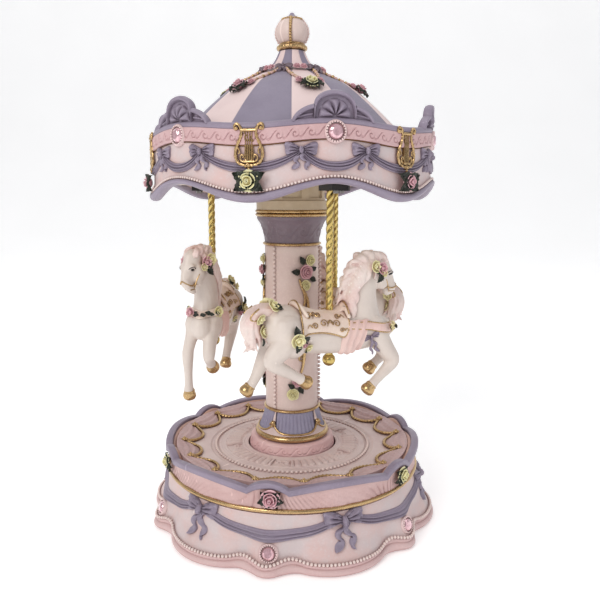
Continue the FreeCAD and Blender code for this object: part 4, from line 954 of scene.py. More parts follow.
def build_base_ribbons():
    """A bow on each panel and a draped ribbon between each two bows."""
    parts = []
    for bearing in each_panel(PANEL_BEARING):
        parts.append(wrapped(bow_template(9.6, 13.6), bearing, RIBBON_RADIUS, 25.8, wall))
        s = np.linspace(-1, 1, 61)
        reach = RIBBON_RADIUS * math.radians(STEP / 2 - 3.6)
        centre = np.stack([s * reach, 26.6 - 5.6 * (1 - s ** 2) - 1.2 * (1 - s ** 4)], 1)
        half = 1.1 + 1.75 * np.sqrt(np.clip(1 - s ** 2, 0, 1))
        ribbon = pillow(centre, half, folds(1.7, 3.4, 0.2, 0.6), 0.5, 21)
        parts.append(wrapped(ribbon, bearing + STEP / 2, RIBBON_RADIUS, 0.0, wall))
    piece("base_ribbons", *join(parts), "base", "lavender_resin", ("base_swags",), 50)


def build_base_ornaments():
    """Pink and yellow roses by turns over the lobes, and a stone under each."""
    lobes = each_panel(LOBE_BEARING)
    spray = [(-12, 7.0), (34, 6.2), (148, 6.2), (200, 7.2), (246, 6.0), (306, 6.2)]
    for first, colour, size in ((0, "pink", 4.5), (1, "yellow", 4.2)):
        bearings = [b + 1.2 for b in lobes[first::2]]
        rose_cluster("base_roses_" + colour, "base", bearings, ROSE_RADIUS, ROSE_HEIGHT, size,
                     "rose_" + colour, spray)
    reach = float(wall(LOBE_BEARING, JEWEL_HEIGHT))
    jewels("base", [b + 0.9 for b in lobes], reach, JEWEL_HEIGHT, 5.0, 17.0)


# --- column -------------------------------------------------------------------------------------
def wave_scroll(x, y, period, height):
    """Running-scroll line: 1 on the groove, 0 away from it. x along the band, y up from its middle."""
    cell = (x / period) % 1.0
    u = (cell - 0.5) * period
    distance = np.hypot(u, y)
    turn = np.arctan2(y, u)
    spiral = np.cos(distance * 2 * np.pi / (height * 0.42) - turn)
    inside = np.clip((height * 0.46 - distance) / (height * 0.12), 0, 1)
    link = y - 0.34 * height * np.sin(2 * np.pi * (cell - 0.1))
    line = np.exp(-(link / (0.09 * height)) ** 2) * (1 - inside)
    return np.clip(inside * np.clip(spiral, 0, 1) ** 2 + line, 0, 1)


FOOT_KNOBS = 4
FOOT_KNOB_STEP = 360.0 / FOOT_KNOBS
FIRST_FOOT_KNOB = -36.5
CONE_LOW, CONE_RISE = 51.0, 12.6


def from_foot_knob(bearings):
    """Angle from the nearest of the four gilt knobs on the column's foot."""
    off = (np.asarray(bearings, float) - FIRST_FOOT_KNOB + FOOT_KNOB_STEP / 2) % FOOT_KNOB_STEP
    return np.abs(off - FOOT_KNOB_STEP / 2)


def knob_wave(bearings):
    """Height of the gilt edge that sweeps up to a knob four times round the foot."""
    return 51.9 + 5.2 * np.exp(-(from_foot_knob(bearings) / 9.5) ** 1.15)


def cone_radius(height):
    """Radius of the column's foot, which narrows upwards."""
    t = np.clip((height - CONE_LOW) / CONE_RISE, 0, 1)
    return 20.6 - 4.6 * t ** 0.72


def build_collar():
    """The collar on the deck, with a running scroll round it."""
    def shape(bearings, radius, height):
        shade = (height > 40.2) * (height < 46.3) * (radius > 20)
        groove = wave_scroll(np.radians(bearings) * 25.0, height - 43.3, 8.73, 4.8)
        return radius - 0.35 * groove * shade, height
    outline = [(COLUMN_BORE, 35.6), (25.6, 35.6), (25.8, 39.4)]
    outline += [(25.85 - 1.1 * t ** 1.5, 39.4 + 6.6 * t) for t in np.linspace(0, 1, 26)]
    outline += [(24.3, 46.5), (23.6, 46.95), (COLUMN_BORE, 46.95)]
    piece("collar", *turned(outline, 900, shape), "base", "collar_resin", ("column_collar",), 50)


def build_foot_cone():
    """The fluted foot, with a smooth apron under the gilt edge."""
    def cone(bearings):
        t = np.linspace(0, 1, 34)[:, None]
        height = CONE_LOW + CONE_RISE * t
        flute = np.abs(np.cos(np.radians(bearings * 24)))
        channel = np.exp(-(from_foot_knob(bearings) / 3.2) ** 2)
        fade = np.sin(np.pi * np.clip(t * 0.9 + 0.1, 0, 1))
        radius = cone_radius(height) - 0.55 * (1 - flute) * fade - 0.7 * channel
        below = height < knob_wave(bearings) - 0.3
        radius = np.where(below, cone_radius(height) - 0.8, radius)
        ones = np.ones((1, len(bearings)))
        return (np.vstack([COLUMN_BORE * ones, radius, COLUMN_BORE * ones]),
                np.vstack([CONE_LOW * ones, height * ones, (CONE_LOW + CONE_RISE) * ones]))
    piece("foot_cone", *around(cone, 1080), "base", "cone_resin", ("column_foot",), 60)

    def apron(bearings):
        low = CONE_LOW - 0.1
        t = np.linspace(0, 1, 12)[:, None]
        height = low + (knob_wave(bearings)[None, :] - low) * t
        radius = cone_radius(height) + 0.05 + 0.25 * np.sin(np.pi * t)
        return np.vstack([radius, radius[::-1] - 2.0]), np.vstack([height, height[::-1]])
    piece("foot_apron", *around(apron, 720), "base", "pale_resin", ("column_foot",), 60)


def foot_knob(bearing):
    """A gilt knob with a curl on each side."""
    parts = [beads([at(cone_radius(57.4) + 1.0, bearing, 57.6)], 1.5, 14, 9)]
    across, up = curl(1.5, 2.2, 0.8, 26)
    for side in (-1, 1):
        path = np.stack([side * (0.4 + across), up - 0.6, np.full(26, 0.3)], 1)
        parts.append(wrapped(tube(path, 0.42, 7), bearing, 19.2, 57.0))
    return parts


def build_column_gilding():
    """Everything gilt on the column, and the drops that climb from the knobs."""
    bearings = np.arange(0, 360, 0.5)
    edge = knob_wave(bearings)
    gilding = [tube(at(cone_radius(edge) + 0.35, bearings, edge), 0.62, 8, True)]
    drops = []
    climb = np.linspace(58.6, 63.2, 6)
    for k in range(FOOT_KNOBS):
        bearing = FIRST_FOOT_KNOB + FOOT_KNOB_STEP * k
        gilding += foot_knob(bearing)
        drops.append(beads(at(cone_radius(climb) + 0.1, bearing, climb), np.linspace(0.95, 0.55, 6), 10, 7))
    for radius, middle, half in ((22.3, 49.0, 2.0), (17.0, 64.45, 0.85), (17.1, SHAFT_TOP + 0.8, 0.8),
                                 (21.3, 179.0, 1.0), (21.3, 181.0, 1.0)):
        wide = 1.3 * half
        gilding.append(turned(half_round(COLUMN_BORE, radius - wide, middle, wide, half, 16), 240))
    piece("column_gilding", *join(gilding), "base", "gold_paint", ("column_rings",), 50)
    piece("foot_drops", *join(drops), "base", "pearl", ("column_foot",))


def build_shaft():
    """The shaft, slightly uneven, with three strings of pearls down it."""
    def shape(bearings, radius, height):
        outer = radius > 15
        flat = 0.12 * np.cos(np.radians(bearings * 6 + 40)) + 0.05 * np.sin(height * 0.21 + bearings * 0.05)
        return radius + outer * (flat - 0.12), height
    outline = [(COLUMN_BORE, SHAFT_LOW), (SHAFT_RADIUS - 0.2, SHAFT_LOW)]
    outline += [(SHAFT_RADIUS, z) for z in np.linspace(SHAFT_LOW + 0.3, SHAFT_TOP - 0.3, 60)]
    outline += [(SHAFT_RADIUS - 0.2, SHAFT_TOP), (COLUMN_BORE, SHAFT_TOP)]
    piece("shaft", *turned(outline, 240, shape), "base", "shaft_resin", ("column_shaft",), 50)
    levels = np.arange(SHAFT_LOW + 1.6, SHAFT_TOP - 1.0, 2.45)
    strings = [beads(at(SHAFT_RADIUS + 0.35, b, levels), 0.95) for b in (-38.0, 82.0, 202.0)]
    piece("shaft_pearls", *join(strings), "base", "pearl", ("column_pearls",))


def build_capital():
    """The capital, which flares under the canopy and carries a scroll between leaves."""
    def shape(bearings, radius, height):
        outer = radius > 15
        x = np.radians(bearings) * 17.0
        relief = wave_scroll(x, height - 170.0, 13.35, 9.5)
        leaf = np.clip(np.sin(x * 0.94) * np.sin((height - 163) * 0.55), 0, 1)
        fade = np.clip((height - 163.6) / 1.5, 0, 1) * np.clip((176.4 - height) / 1.5, 0, 1)
        return radius + outer * fade * (0.32 * relief + 0.22 * leaf - 0.1), height
    levels = np.linspace(SHAFT_TOP + 1.6, 178.0, 60)
    flare = np.interp(levels, (163.2, 166.0, 170.0, 173.5, 176.4, 178.0),
                      (15.9, 16.1, 16.9, 18.4, 20.2, 20.5))
    outline = [(COLUMN_BORE, levels[0]), *zip(flare, levels), (COLUMN_BORE, levels[-1])]
    piece("capital", *turned(outline, 720, shape), "base", "capital_resin", ("column_capital",), 50)


def on_shaft(template, bearing, height, turn, size, lift=0.0):
    """Puts a bloom or leaf on the shaft."""
    return placed(template, bearing, SHAFT_RADIUS + 0.1 + lift, height, turn, size)


def build_vines():
    """The gilt stem with blooms that climbs the shaft, three times round."""
    stems, pinks, yellows, leaves = [], [], [], []
    line = [(15, 143), (20, 138.5), (31, 132), (34, 125), (28, 117), (22, 110), (26, 101.5), (24, 94),
            (19, 88)]
    second = [(23, 136), (27, 131), (24, 126), (29, 121)]
    for k in range(3):
        turn = 120 * k
        for points, radius in ((line, 1.0), (second, 0.6)):
            path = smooth_path([[b, z, 0] for b, z in points], 70)
            body = at(SHAFT_RADIUS + 0.5, path[:, 0] + turn, path[:, 1])
            width = radius * (0.55 + 0.45 * np.sin(np.linspace(0.15, 3.0, 70)))
            stems.append(tube(body, width, 9, False, lambda a, d: 1 + 0.16 * np.cos(3 * (a + d * 0.8))))
        across, up = curl(2.2, 2.6, 0.75, 40)
        tendril = at(SHAFT_RADIUS + 0.45, 20 + turn + np.degrees(across / 16), 96.5 + up)
        stems.append(tube(tendril, 0.42, 7))
        pinks += [on_shaft(ROSE, 29 + turn, 147, 10, 3.7), on_shaft(ROSE, 12 + turn, 83, 80, 3.0)]
        yellows += [on_shaft(ROSE, 39 + turn, 153.5, 50, 2.9), on_shaft(ROSE, 28 + turn, 139.3, 5, 2.8),
                    on_shaft(ROSE, 2 + turn, 75.5, 20, 3.2)]
        for b, z, angle, size in ((24, 151.5, 120, 5.2), (16, 147.0, 175, 5.4), (38, 143.6, -30, 4.6),
                                  (41, 148.0, 20, 4.0), (14, 80.0, -60, 5.0), (19, 82.0, 0, 4.6),
                                  (5, 79.5, 150, 4.4), (30, 104, 30, 4.2)):
            leaves.append(on_shaft(LEAF, b + turn, z, angle, size, 0.1))
    piece("vine_stems", *join(stems), "base", "gold_paint", ("column_vines",), 0)
    piece("vine_pink", *join(pinks), "base", "rose_pink", ("column_vines",))
    piece("vine_yellow", *join(yellows), "base", "rose_yellow", ("column_vines",))
    piece("vine_leaves", *join(leaves), "base", "leaf_green", ("column_vines",))


# --- canopy -------------------------------------------------------------------------------------
def panel_wave(bearings):
    """-1 at the corners, +1 in the middle of a panel."""
    return -np.cos(np.radians((np.asarray(bearings, float) - CORNER_BEARING) * PANELS))


def lip_bottom(bearings):
    """Height of the canopy's lower edge."""
    return 190.4 + 3.6 * panel_wave(bearings)


def band_low(bearings):
    """Height of the lower edge of the scroll band."""
    return 214.5 + 1.5 * panel_wave(bearings)


def rim_high(bearings):
    """Height of the canopy's upper rim."""
    return 224.4 + 1.2 * panel_wave(bearings)


def fascia_wall(bearings, heights):
    """Outer radius of the cream fascia, which flares a little at the lip."""
    above = heights - lip_bottom(bearings) - 4.2
    return FASCIA_RADIUS + 1.3 * np.exp(-np.clip(above, 0, None) / 2.6)


LIP_ROWS = ((74.3, 4.2), (74.2, 2.6), (74.6, 1.2), (75.6, 0.35), (77.0, 0.0), (78.6, 0.15), (79.8, 0.8),
            (80.5, 1.9), (80.55, 2.9), (80.1, 3.7), (79.3, 4.2), (78.2, 4.35), (77.0, 4.4))


def build_fascia():
    """The cream board of the canopy, with its lip and the pearls on the lip."""
    def board(bearings):
        low = lip_bottom(bearings)[None, :] + 3.0
        top = rim_high(bearings)[None, :] - 2.0
        height = low + (top - low) * np.linspace(0, 1, 40)[:, None]
        radius = fascia_wall(bearings[None, :], height) - 0.15
        back = np.full((10, len(bearings)), 74.4)
        return (np.vstack([radius, back]),
                np.vstack([height, low + (top - low) * np.linspace(1, 0, 10)[:, None]]))
    piece("fascia", *around(board, 1080), "carousel", "cream_resin", ("canopy_fascia",), 60)

    def lip(bearings):
        base = lip_bottom(bearings)[None, :]
        slim = np.clip(0.83 - 0.19 * panel_wave(bearings)[None, :], 0, 1)
        return (np.vstack([r * np.ones((1, len(bearings))) for r, z in LIP_ROWS]),
                np.vstack([base + 4.4 - (4.4 - z) * slim for r, z in LIP_ROWS]))
    piece("lip", *around(lip, 1080), "carousel", "lavender_resin", ("canopy_lip",), 60)

    bearings = np.arange(0, 360, 0.25)
    path = at(FASCIA_RADIUS + 1.45, bearings, lip_bottom(bearings) + 5.1)
    piece("lip_pearls", *beads(spaced(path, 1.7, True), 0.72, 9, 6), "carousel", "pearl", ("canopy_pearls",))


def build_scroll_band():
    """The band of running scrolls above the board, a thin dark brown line under it that is painted shade, and
    the rim over it.
    """
    def band(bearings):
        low = band_low(bearings)[None, :]
        top = rim_high(bearings)[None, :] - 2.6
        t = np.linspace(0, 1, 46)[:, None]
        x = np.radians(bearings[None, :] - CORNER_BEARING) * FASCIA_RADIUS
        pitch = FASCIA_RADIUS * math.radians(STEP) / 11
        groove = wave_scroll(x + pitch / 2, (t - 0.5) * 6.6, pitch, 4.6)
        edge = np.clip(np.minimum(t, 1 - t) / 0.05, 0, 1)
        radius = FASCIA_RADIUS + 0.15 + 0.8 * edge - 0.55 * groove
        back = 76.0 * np.ones((2, len(bearings)))
        return np.vstack([radius, back]), np.vstack([low + (top - low) * t, top, low])
    piece("scroll_band", *around(band, 2160), "carousel", "rose_band", ("canopy_fascia",), 60)

    bearings = np.arange(0, 360, 0.25)
    # a thin dark brown line along the band's lower edge: painted shade
    shade_line = tube(at(FASCIA_RADIUS + 0.2, bearings, band_low(bearings) - 0.1), 0.3, 8, True)
    piece("band_line", *shade_line, "carousel", "old_gold", ("canopy_fascia",), 0)

    def rim(bearings):
        turn = np.linspace(0, 2 * np.pi, 20, endpoint=False)[:, None]
        radius = 76.6 + 2.15 * np.cos(turn) * np.ones_like(bearings)
        return radius, rim_high(bearings)[None, :] - 1.75 + 1.95 * np.sin(turn)
    piece("canopy_rim", *around(rim, 1080), "carousel", "lavender_resin", ("canopy_crests",), 0)


def crest_height(x):
    """Outline of a crest over its rim: a round arch between two falling shoulders."""
    x = np.abs(x)
    arch = 6.6 + 6.6 * np.sqrt(np.clip(1 - (x / 9.8) ** 2, 0, 1)) ** 0.9
    shoulder = 7.2 * np.sqrt(np.clip(1 - (np.clip(x - 7.6, 0, None) / 12.4) ** 2, 0, 1)) ** 1.1
    return np.where(x < 9.75, np.maximum(arch, shoulder), shoulder)


def crest_template():
    """Crest with a raised ridge, a fan of petals in its arch and a leaf line on its shoulders."""
    columns = np.concatenate([np.linspace(-20.0, -9.8, 44), np.linspace(-9.7, 9.7, 90),
                              np.linspace(9.8, 20.0, 44)])
    x = columns[None, :]
    t = np.linspace(0, 1, 44)[:, None]
    top = crest_height(x)
    y = t * top
    slope = np.gradient(top[0], columns)[None, :]
    edge = (top - y) / np.sqrt(1 + np.clip(slope, -3, 3) ** 2)
    ridge = 2.1 * np.sqrt(np.clip(1 - ((edge - 1.2) / 1.25) ** 2, 0, 1))
    angle = np.degrees(np.arctan2(x, y - 1.4))
    reach = np.hypot(x, y - 1.4)
    fan = np.abs(np.cos(np.radians(angle * 180 / 38)))
    swell = np.sqrt(np.clip(1 - ((reach - 4.3) / 3.5) ** 2, 0, 1))
    petals = 2.4 * (0.12 + 0.88 * fan ** 0.9) * swell * (np.abs(angle) < 95)
    petals = petals * np.clip((edge - 2.2) / 0.7, 0, 1)
    leaf_line = 0.9 * np.exp(-((y - 0.34 * top - 0.2) / 0.6) ** 2) * (np.abs(x) > 10.4)
    front = np.maximum(ridge, np.maximum(petals, leaf_line))
    front = front * np.clip(edge / 0.5 + 0.15, 0, 1) ** 0.5
    back = -2.0 - 0.7 * np.exp(-((edge - 1.25) / 0.85) ** 2)
    back = back + (0.2 - back) * np.clip(1 - edge / 0.5, 0, 1) * 0.6
    return slab(*(np.stack(np.broadcast_arrays(x, y, z), -1) for z in (front, back)))


def build_crests():
    """A crest over each panel, standing on the wave of the rim."""
    points, faces = crest_template()
    parts = []
    for b in each_panel(FASCIA_BEARING):
        bearings = b + np.degrees(points[:, 0] / 76.8)
        base = rim_high(bearings) - 0.9
        parts.append((at(77.0 + points[:, 2], bearings, base + points[:, 1]), faces))
    piece("crests", *join(parts), "carousel", "lavender_resin", ("canopy_crests",), 45)


def build_canopy_ribbons():
    """Two bows on each panel, and ribbons draped between all the bows."""
    bow = 11.7
    reach = FASCIA_RADIUS * math.radians(bow)
    side = FASCIA_RADIUS * math.radians(STEP / 2) - reach
    s = np.linspace(-1, 1, 51)
    width = 0.7 + 1.5 * np.sqrt(np.clip(1 - s ** 2, 0, 1))
    high = 209.9
    parts = []
    for b in each_panel(FASCIA_BEARING):
        for sign in (-1, 1):
            parts.append(wrapped(bow_template(6.6, 8.2), b + sign * bow, FASCIA_RADIUS, 210.6, fascia_wall))
        for middle, half, low in ((b, reach, 203.6), (b + STEP / 2, side, 202.9)):
            line = np.stack([s * (half - 0.8), high - (high - low) * (1 - np.abs(s) ** 2.3)], 1)
            ribbon = pillow(line, width, folds(1.6, 3.4, 0.15, 2.9), 0.4, 21)
            parts.append(wrapped(ribbon, middle, FASCIA_RADIUS, 0.0, fascia_wall))
    piece("canopy_ribbons", *join(parts), "carousel", "lavender_resin", ("canopy_swags",), 50)


def lyre_template():
    """Lyre: two scrolled arms with leaves, a board with four strings, two bars and beads below."""
    parts = []
    arm = [(0, 0.9), (2.6, 0.7), (5.0, 1.7), (6.5, 4.4), (6.5, 7.6), (5.2, 10.8), (3.9, 13.6), (3.6, 16.2),
           (4.6, 18.6), (6.2, 19.3), (7.1, 18.2), (6.6, 17.0), (5.8, 17.3)]
    inner = [(1.0, 3.0), (2.6, 2.3), (4.0, 3.2), (4.1, 4.9), (3.0, 5.4), (2.6, 4.5), (3.1, 4.1)]
    leaf = [(5.9, 9.2), (4.9, 8.0), (4.7, 6.6), (5.3, 5.9)]
    for side in (-1, 1):
        for path, radius, count in ((arm, 0.78, 90), (inner, 0.5, 40), (leaf, 0.45, 20)):
            line = smooth_path([[side * x, y, 1.1] for x, y in path], count)
            taper = radius * (1 - 0.35 * np.linspace(0, 1, count) ** 3)
            parts.append(tube(line, taper, 9, False, lambda a, d: 1 + 0.08 * np.cos(2 * (a + d))))
        parts.append(beads([[side * 5.9, 17.3, 1.3]], 0.95, 12, 8))
        parts.append(beads([[side * 5.2, 11.3, 1.5]], 0.6, 10, 7))
    board = [(-2.4, 2.4), (2.4, 2.4), (2.1, 9.0), (2.5, 16.4), (-2.5, 16.4), (-2.1, 9.0)]
    board_points = [[x, y, z] for z in (0.1, 0.85) for x, y in board]
    board_faces = [[5, 4, 3, 2, 1, 0], [6, 7, 8, 9, 10, 11]]
    board_faces += [[i, (i + 1) % 6, (i + 1) % 6 + 6, i + 6] for i in range(6)]
    parts.append((np.array(board_points, float), board_faces))
    for x in (-1.65, -0.55, 0.55, 1.65):
        string = [[x * (0.9 + 0.1 * abs(y - 9) / 7), y, 1.1] for y in np.linspace(2.6, 16.2, 20)]
        parts.append(tube(string, 0.26, 7))
    parts.append(tube([[x, 16.5, 1.2] for x in np.linspace(-3.6, 3.6, 9)], 0.72, 9))
    parts.append(tube([[x, 2.3, 1.2] for x in np.linspace(-2.8, 2.8, 9)], 0.7, 9))
    for x, y, r in ((0, 0.4, 1.25), (0, -1.0, 0.95), (-1.5, 0.2, 0.8), (1.5, 0.2, 0.8)):
        parts.append(beads([[x, y, 1.1]], r, 12, 8))
    return join(parts)


def build_corner_ornaments():
    """A lyre at each corner with a rose under it and a stone over the panel beside it."""
    corners = each_panel(CORNER_BEARING)
    points, faces = lyre_template()
    lyre = np.asarray(points) * [0.97, 1.0, 1.0], faces
    parts = [wrapped(lyre, b + 0.6, FASCIA_RADIUS, LYRE_LOW) for b in corners]
    piece("lyres", *join(parts), "carousel", "gold_paint", ("canopy_lyres",), 40)
    spray = [(26, 8.6), (-32, 8.4), (154, 8.6), (212, 8.4)]
    for first, colour, size in ((0, "yellow", 4.6), (1, "pink", 4.2)):
        rose_cluster("corner_" + colour, "canopy", [b + 0.8 for b in corners[first::2]], 79.9, 196.8, size,
                     "rose_" + colour, spray)
    jewels("canopy", [b + STEP / 2 for b in corners], FASCIA_RADIUS + 0.8, 219.2, 5.4, 0.0)


LYRE_LOW = span("canopy_lyres")[0] + 0.6
# The roof's outer line, from the eaves to the neck: radius and height.
ROOF_POINTS = ((74.6, 210.0), (66, 218.5), (58.5, 226.7), (46, 239), (33.7, 249), (24, 253.7), (16, 257.7),
               (12, 261), (9.2, 265), (7.3, 269))


ROOF_UNDER = ((5.0, 266.0), (10.5, 258.0), (14, 255.6), (22.8, 251.2), (32.3, 246.5), (44.3, 236.9),
              (56.6, 225), (64.6, 216.4), (74.5, 206.4))
GORE = 30.0


def roof_height(radius):
    """Height of the roof's outer face."""
    points = sorted(ROOF_POINTS)
    return np.interp(radius, [p[0] for p in points], [p[1] for p in points])


def curve(points, count):
    """Smooth line through (radius, height) points."""
    return smooth_path([[r, z, 0] for r, z in points], count)[:, :2]


def build_roof():
    """The roof's bell-shaped shell, with a groove along each of its twelve seams."""
    outline = np.vstack([curve(ROOF_POINTS, 70), curve(ROOF_UNDER, 40)])
    is_top = np.zeros((len(outline), 1))
    is_top[1:69] = 1

    def shape(bearings, radius, height):
        off = np.abs((bearings - FASCIA_BEARING + GORE / 2) % GORE - GORE / 2)
        groove = 0.28 * np.exp(-(np.radians(GORE / 2 - off) * radius / 0.45) ** 2)
        return radius - groove * is_top * 0.8, height - groove * is_top * 0.6
    piece("roof", *turned(outline, 720, shape), "carousel", "roof_resin", ("canopy_roof",), 60)


def chain_radius(bearings):
    """The bead chain hangs low over the panels and climbs to the neck at the corners."""
    wave = 0.5 + 0.5 * panel_wave(bearings)
    return 14.5 + 21.5 * wave ** 0.8


def on_roof(bearings, radius, lift):
    """Points on the roof, lifted along its normal."""
    slope = (roof_height(radius - 1.0) - roof_height(radius + 1.0)) / 2.0
    norm = np.sqrt(1 + slope ** 2)
    return at(radius + lift * slope / norm, bearings, roof_height(radius) + lift / norm)


def build_roof_chain():
    """The gilt chain that swings round the roof, with a blush bead between each two links."""
    bearings = np.arange(0, 360, 0.5)
    path = on_roof(bearings, chain_radius(bearings), 0.5)
    centres = spaced(path, 1.9, True)
    sizes = 1.0 + 0.16 * np.cos(np.arange(len(centres)) * 2.1)
    sway = np.where(np.arange(len(centres)) % 2 == 0, 1.0, -1.0)[:, None]
    outer = centres * [1, 1, 0] / np.linalg.norm(centres[:, :2], axis=1, keepdims=True)
    links = beads(centres[::2], sizes[::2], 10, 7)
    piece("roof_chain", *links, "carousel", "gold_paint", ("roof_garland",), 0)
    dots = [beads(centres[1::2], 0.95, 10, 7), beads(centres + outer * sway - [0, 0, 0.2], 0.62, 8, 6)]
    piece("roof_chain_beads", *join(dots), "carousel", "blush_bead", ("roof_garland",), 0)


def build_garland():
    """The chain on the roof, a rose in the middle of each of its swings and a bow at each corner."""
    build_roof_chain()
    spray = ((-20, 6.6), (-60, 6.2), (-95, 5.6), (-130, 6.2), (200, 6.6), (20, 5.2), (160, 5.2))
    pinks, yellows, leaves, bows, buds = [], [], [], [], []
    for i, b in enumerate(each_panel(FASCIA_BEARING)):
        bloom = yellows if i % 2 == 0 else pinks
        high = float(roof_height(36.0)) - 0.6
        bloom.append(placed(ROSE, b, 38.6, high, 20 * i, 3.9, 50.0))
        leaves += [placed(LEAF, b, 38.2, high, turn, length, 50.0) for turn, length in spray]
        for side in (-1, 1):
            buds.append(placed(ROSE, b + side * 9.0, 36.0, float(roof_height(34.2)) - 0.3, 40, 1.9, 52.0))
        corner = b + STEP / 2
        neck = float(roof_height(15.6)) + 0.2
        bows.append(placed(bow_template(4.2, 4.6), corner, 17.4, neck, tilt=55.0))
        pinks += [placed(ROSE, corner + side * 24.0, 17.4, neck, 15, 2.0, 55.0) for side in (-1, 1)]
    piece("roof_pink", *join(pinks + buds), "carousel", "rose_pink", ("roof_garland",))
    piece("roof_yellow", *join(yellows), "carousel", "rose_yellow", ("roof_garland",))
    piece("roof_leaves", *join(leaves), "carousel", "leaf_green", ("roof_garland",))
    piece("roof_bows", *join(bows), "carousel", "capital_resin", ("roof_garland",), 50)


def build_finial():
    """The finial: two gilt rings, a lobed egg with its cap, gilt ribs and strings of pearls."""
    rings = []
    for middle, reach, tall in ((270.9, 7.1, 1.5), (272.9, 6.4, 0.55)):
        rings.append(turned(half_round(0.4, reach, middle, tall, tall, 14), 120,
                            lambda b, r, z: (r + 0.1 * np.cos(np.radians(b * 30)) * (r > 8), z)))
    piece("finial_rings", *join(rings), "carousel", "gold_paint", ("finial_ring",), 50)
    body = curve(((6.0, 272.8), (7.6, 274.6), (8.9, 278.0), (8.3, 282.0), (6.0, 285.4), (4.4, 286.8)), 40)

    def lobed(bearings, radius, height):
        return radius - (radius > 3) * 0.25 * np.exp(-(((bearings + 30) % 60 - 30) / 5.0) ** 2), height
    outline = np.vstack([[[0.4, 272.8]], body, [[0.4, 286.8]]])
    piece("finial_egg", *turned(outline, 180, lobed), "carousel", "shaft_resin", ("finial",), 50)
    cap = curve(((4.9, 285.4), (4.9, 286.2), (3.6, 287.4), (1.9, 288.3), (1.3, 289.1), (0.9, 289.7)), 26)
    outline = np.vstack([[[0.3, 285.4]], cap, [[0.3, 289.9]]])
    piece("finial_cap", *turned(outline, 90), "carousel", "lavender_resin", ("finial",), 50)
    ribs, strings = [], []
    for i in range(4):
        line = spaced(at(body[2:-3, 0] + 0.15, 90 * i - 6, body[2:-3, 1]), 1.5)
        (strings if i % 2 else ribs).append(beads(line, 0.9, 9, 6))
    piece("finial_strings", *join(strings), "carousel", "pearl", ("finial",), 0)
    edge = np.arange(0, 360, 3.0)
    ribs.append(tube(at(4.95, edge, 285.7 + 0.3 * np.cos(np.radians(edge * 6))), 0.5, 8, True))
    ribs.append(beads(spaced(at(5.4, edge, 286.1), 1.5, True), 0.7, 9, 6))
    piece("finial_ribs", *join(ribs), "carousel", "gold_paint", ("finial",), 0)


# --- poles --------------------------------------------------------------------------------------
def build_pole(index, bearing):
    """A twisted brass pole with a ball at its lower end."""
    name = "pole_" + str(index)
    low, high, _ = span(name)
    x, y, _ = at(POLE_CIRCLE, bearing, 0.0)
    sides = 30
    ball_middle = low + 3.5
    levels = np.arange(ball_middle, high + 0.01, 0.32)
    angle = np.linspace(0, 2 * np.pi, sides, endpoint=False)[None, :]
    lobes = np.abs(np.cos(1.5 * (angle - levels[:, None] * 2 * np.pi / 12.8)))
    radius = 1.62 + 0.45 * lobes ** 0.8
    rod = np.stack([x + radius * np.cos(angle), y + radius * np.sin(angle),
                    np.repeat(levels[:, None], sides, 1)], -1)
    outline = [(0.05, low)]
    outline += [(3.48 * math.sin(a), ball_middle - 3.48 * math.cos(a)) for a in np.linspace(0.12, 2.6, 26)]
    outline += [(1.6, ball_middle + 3.4), (0.05, ball_middle + 3.4)]
    points, faces = turned(outline, 48)
    parts = [(rod.reshape(-1, 3), capped(len(levels), sides)), (points + [x, y, 0], faces)]
    piece("twisted_" + name, *join(parts), "horse_body_" + str(index), "brass", (name,), 0)


# --- horses -------------------------------------------------------------------------------------
# In the horse's own frame: forward, outward and up from the pole at saddle height, in millimetres.
def limb(stations, squash=1.0, count=26):
    """Round-ended limb through stations of (forward, outward, up, radius)."""
    line = smooth_path(stations, count)
    path, radius = line[:, :3], np.clip(line[:, 3], 0.3, None)
    parts = [tube(path, radius, 16), beads(path[[0, -1]], radius[[0, -1]], 16, 11)]
    points, faces = join(parts)
    middle = np.interp(points[:, 0], np.sort(path[:, 0]), path[np.argsort(path[:, 0]), 1])
    points[:, 1] = middle + (points[:, 1] - middle) * squash
    return points, faces


def mirrored(stations):
    """The same stations on the horse's far side."""
    return [(a, -b, c, d) for a, b, c, d in stations]


def fuse(parts, voxel, rounds):
    """Melts overlapping closed pieces into one skin, then softens the joins."""
    points, faces = join(parts)
    mesh = bpy.data.meshes.new("melt")
    mesh.from_pydata(points.tolist(), [], faces)
    obj = bpy.data.objects.new("melt", mesh)
    bpy.context.scene.collection.objects.link(obj)
    remesh = obj.modifiers.new("skin", "REMESH")
    remesh.mode = "VOXEL"
    remesh.voxel_size = voxel
    soften = obj.modifiers.new("soften", "SMOOTH")
    soften.factor = 0.5
    soften.iterations = rounds
    done = bpy.data.meshes.new_from_object(obj.evaluated_get(bpy.context.evaluated_depsgraph_get()))
    result = np.array([v.co[:] for v in done.vertices]), [list(p.vertices) for p in done.polygons]
    bpy.data.objects.remove(obj)
    bpy.data.meshes.remove(mesh)
    bpy.data.meshes.remove(done)
    return result


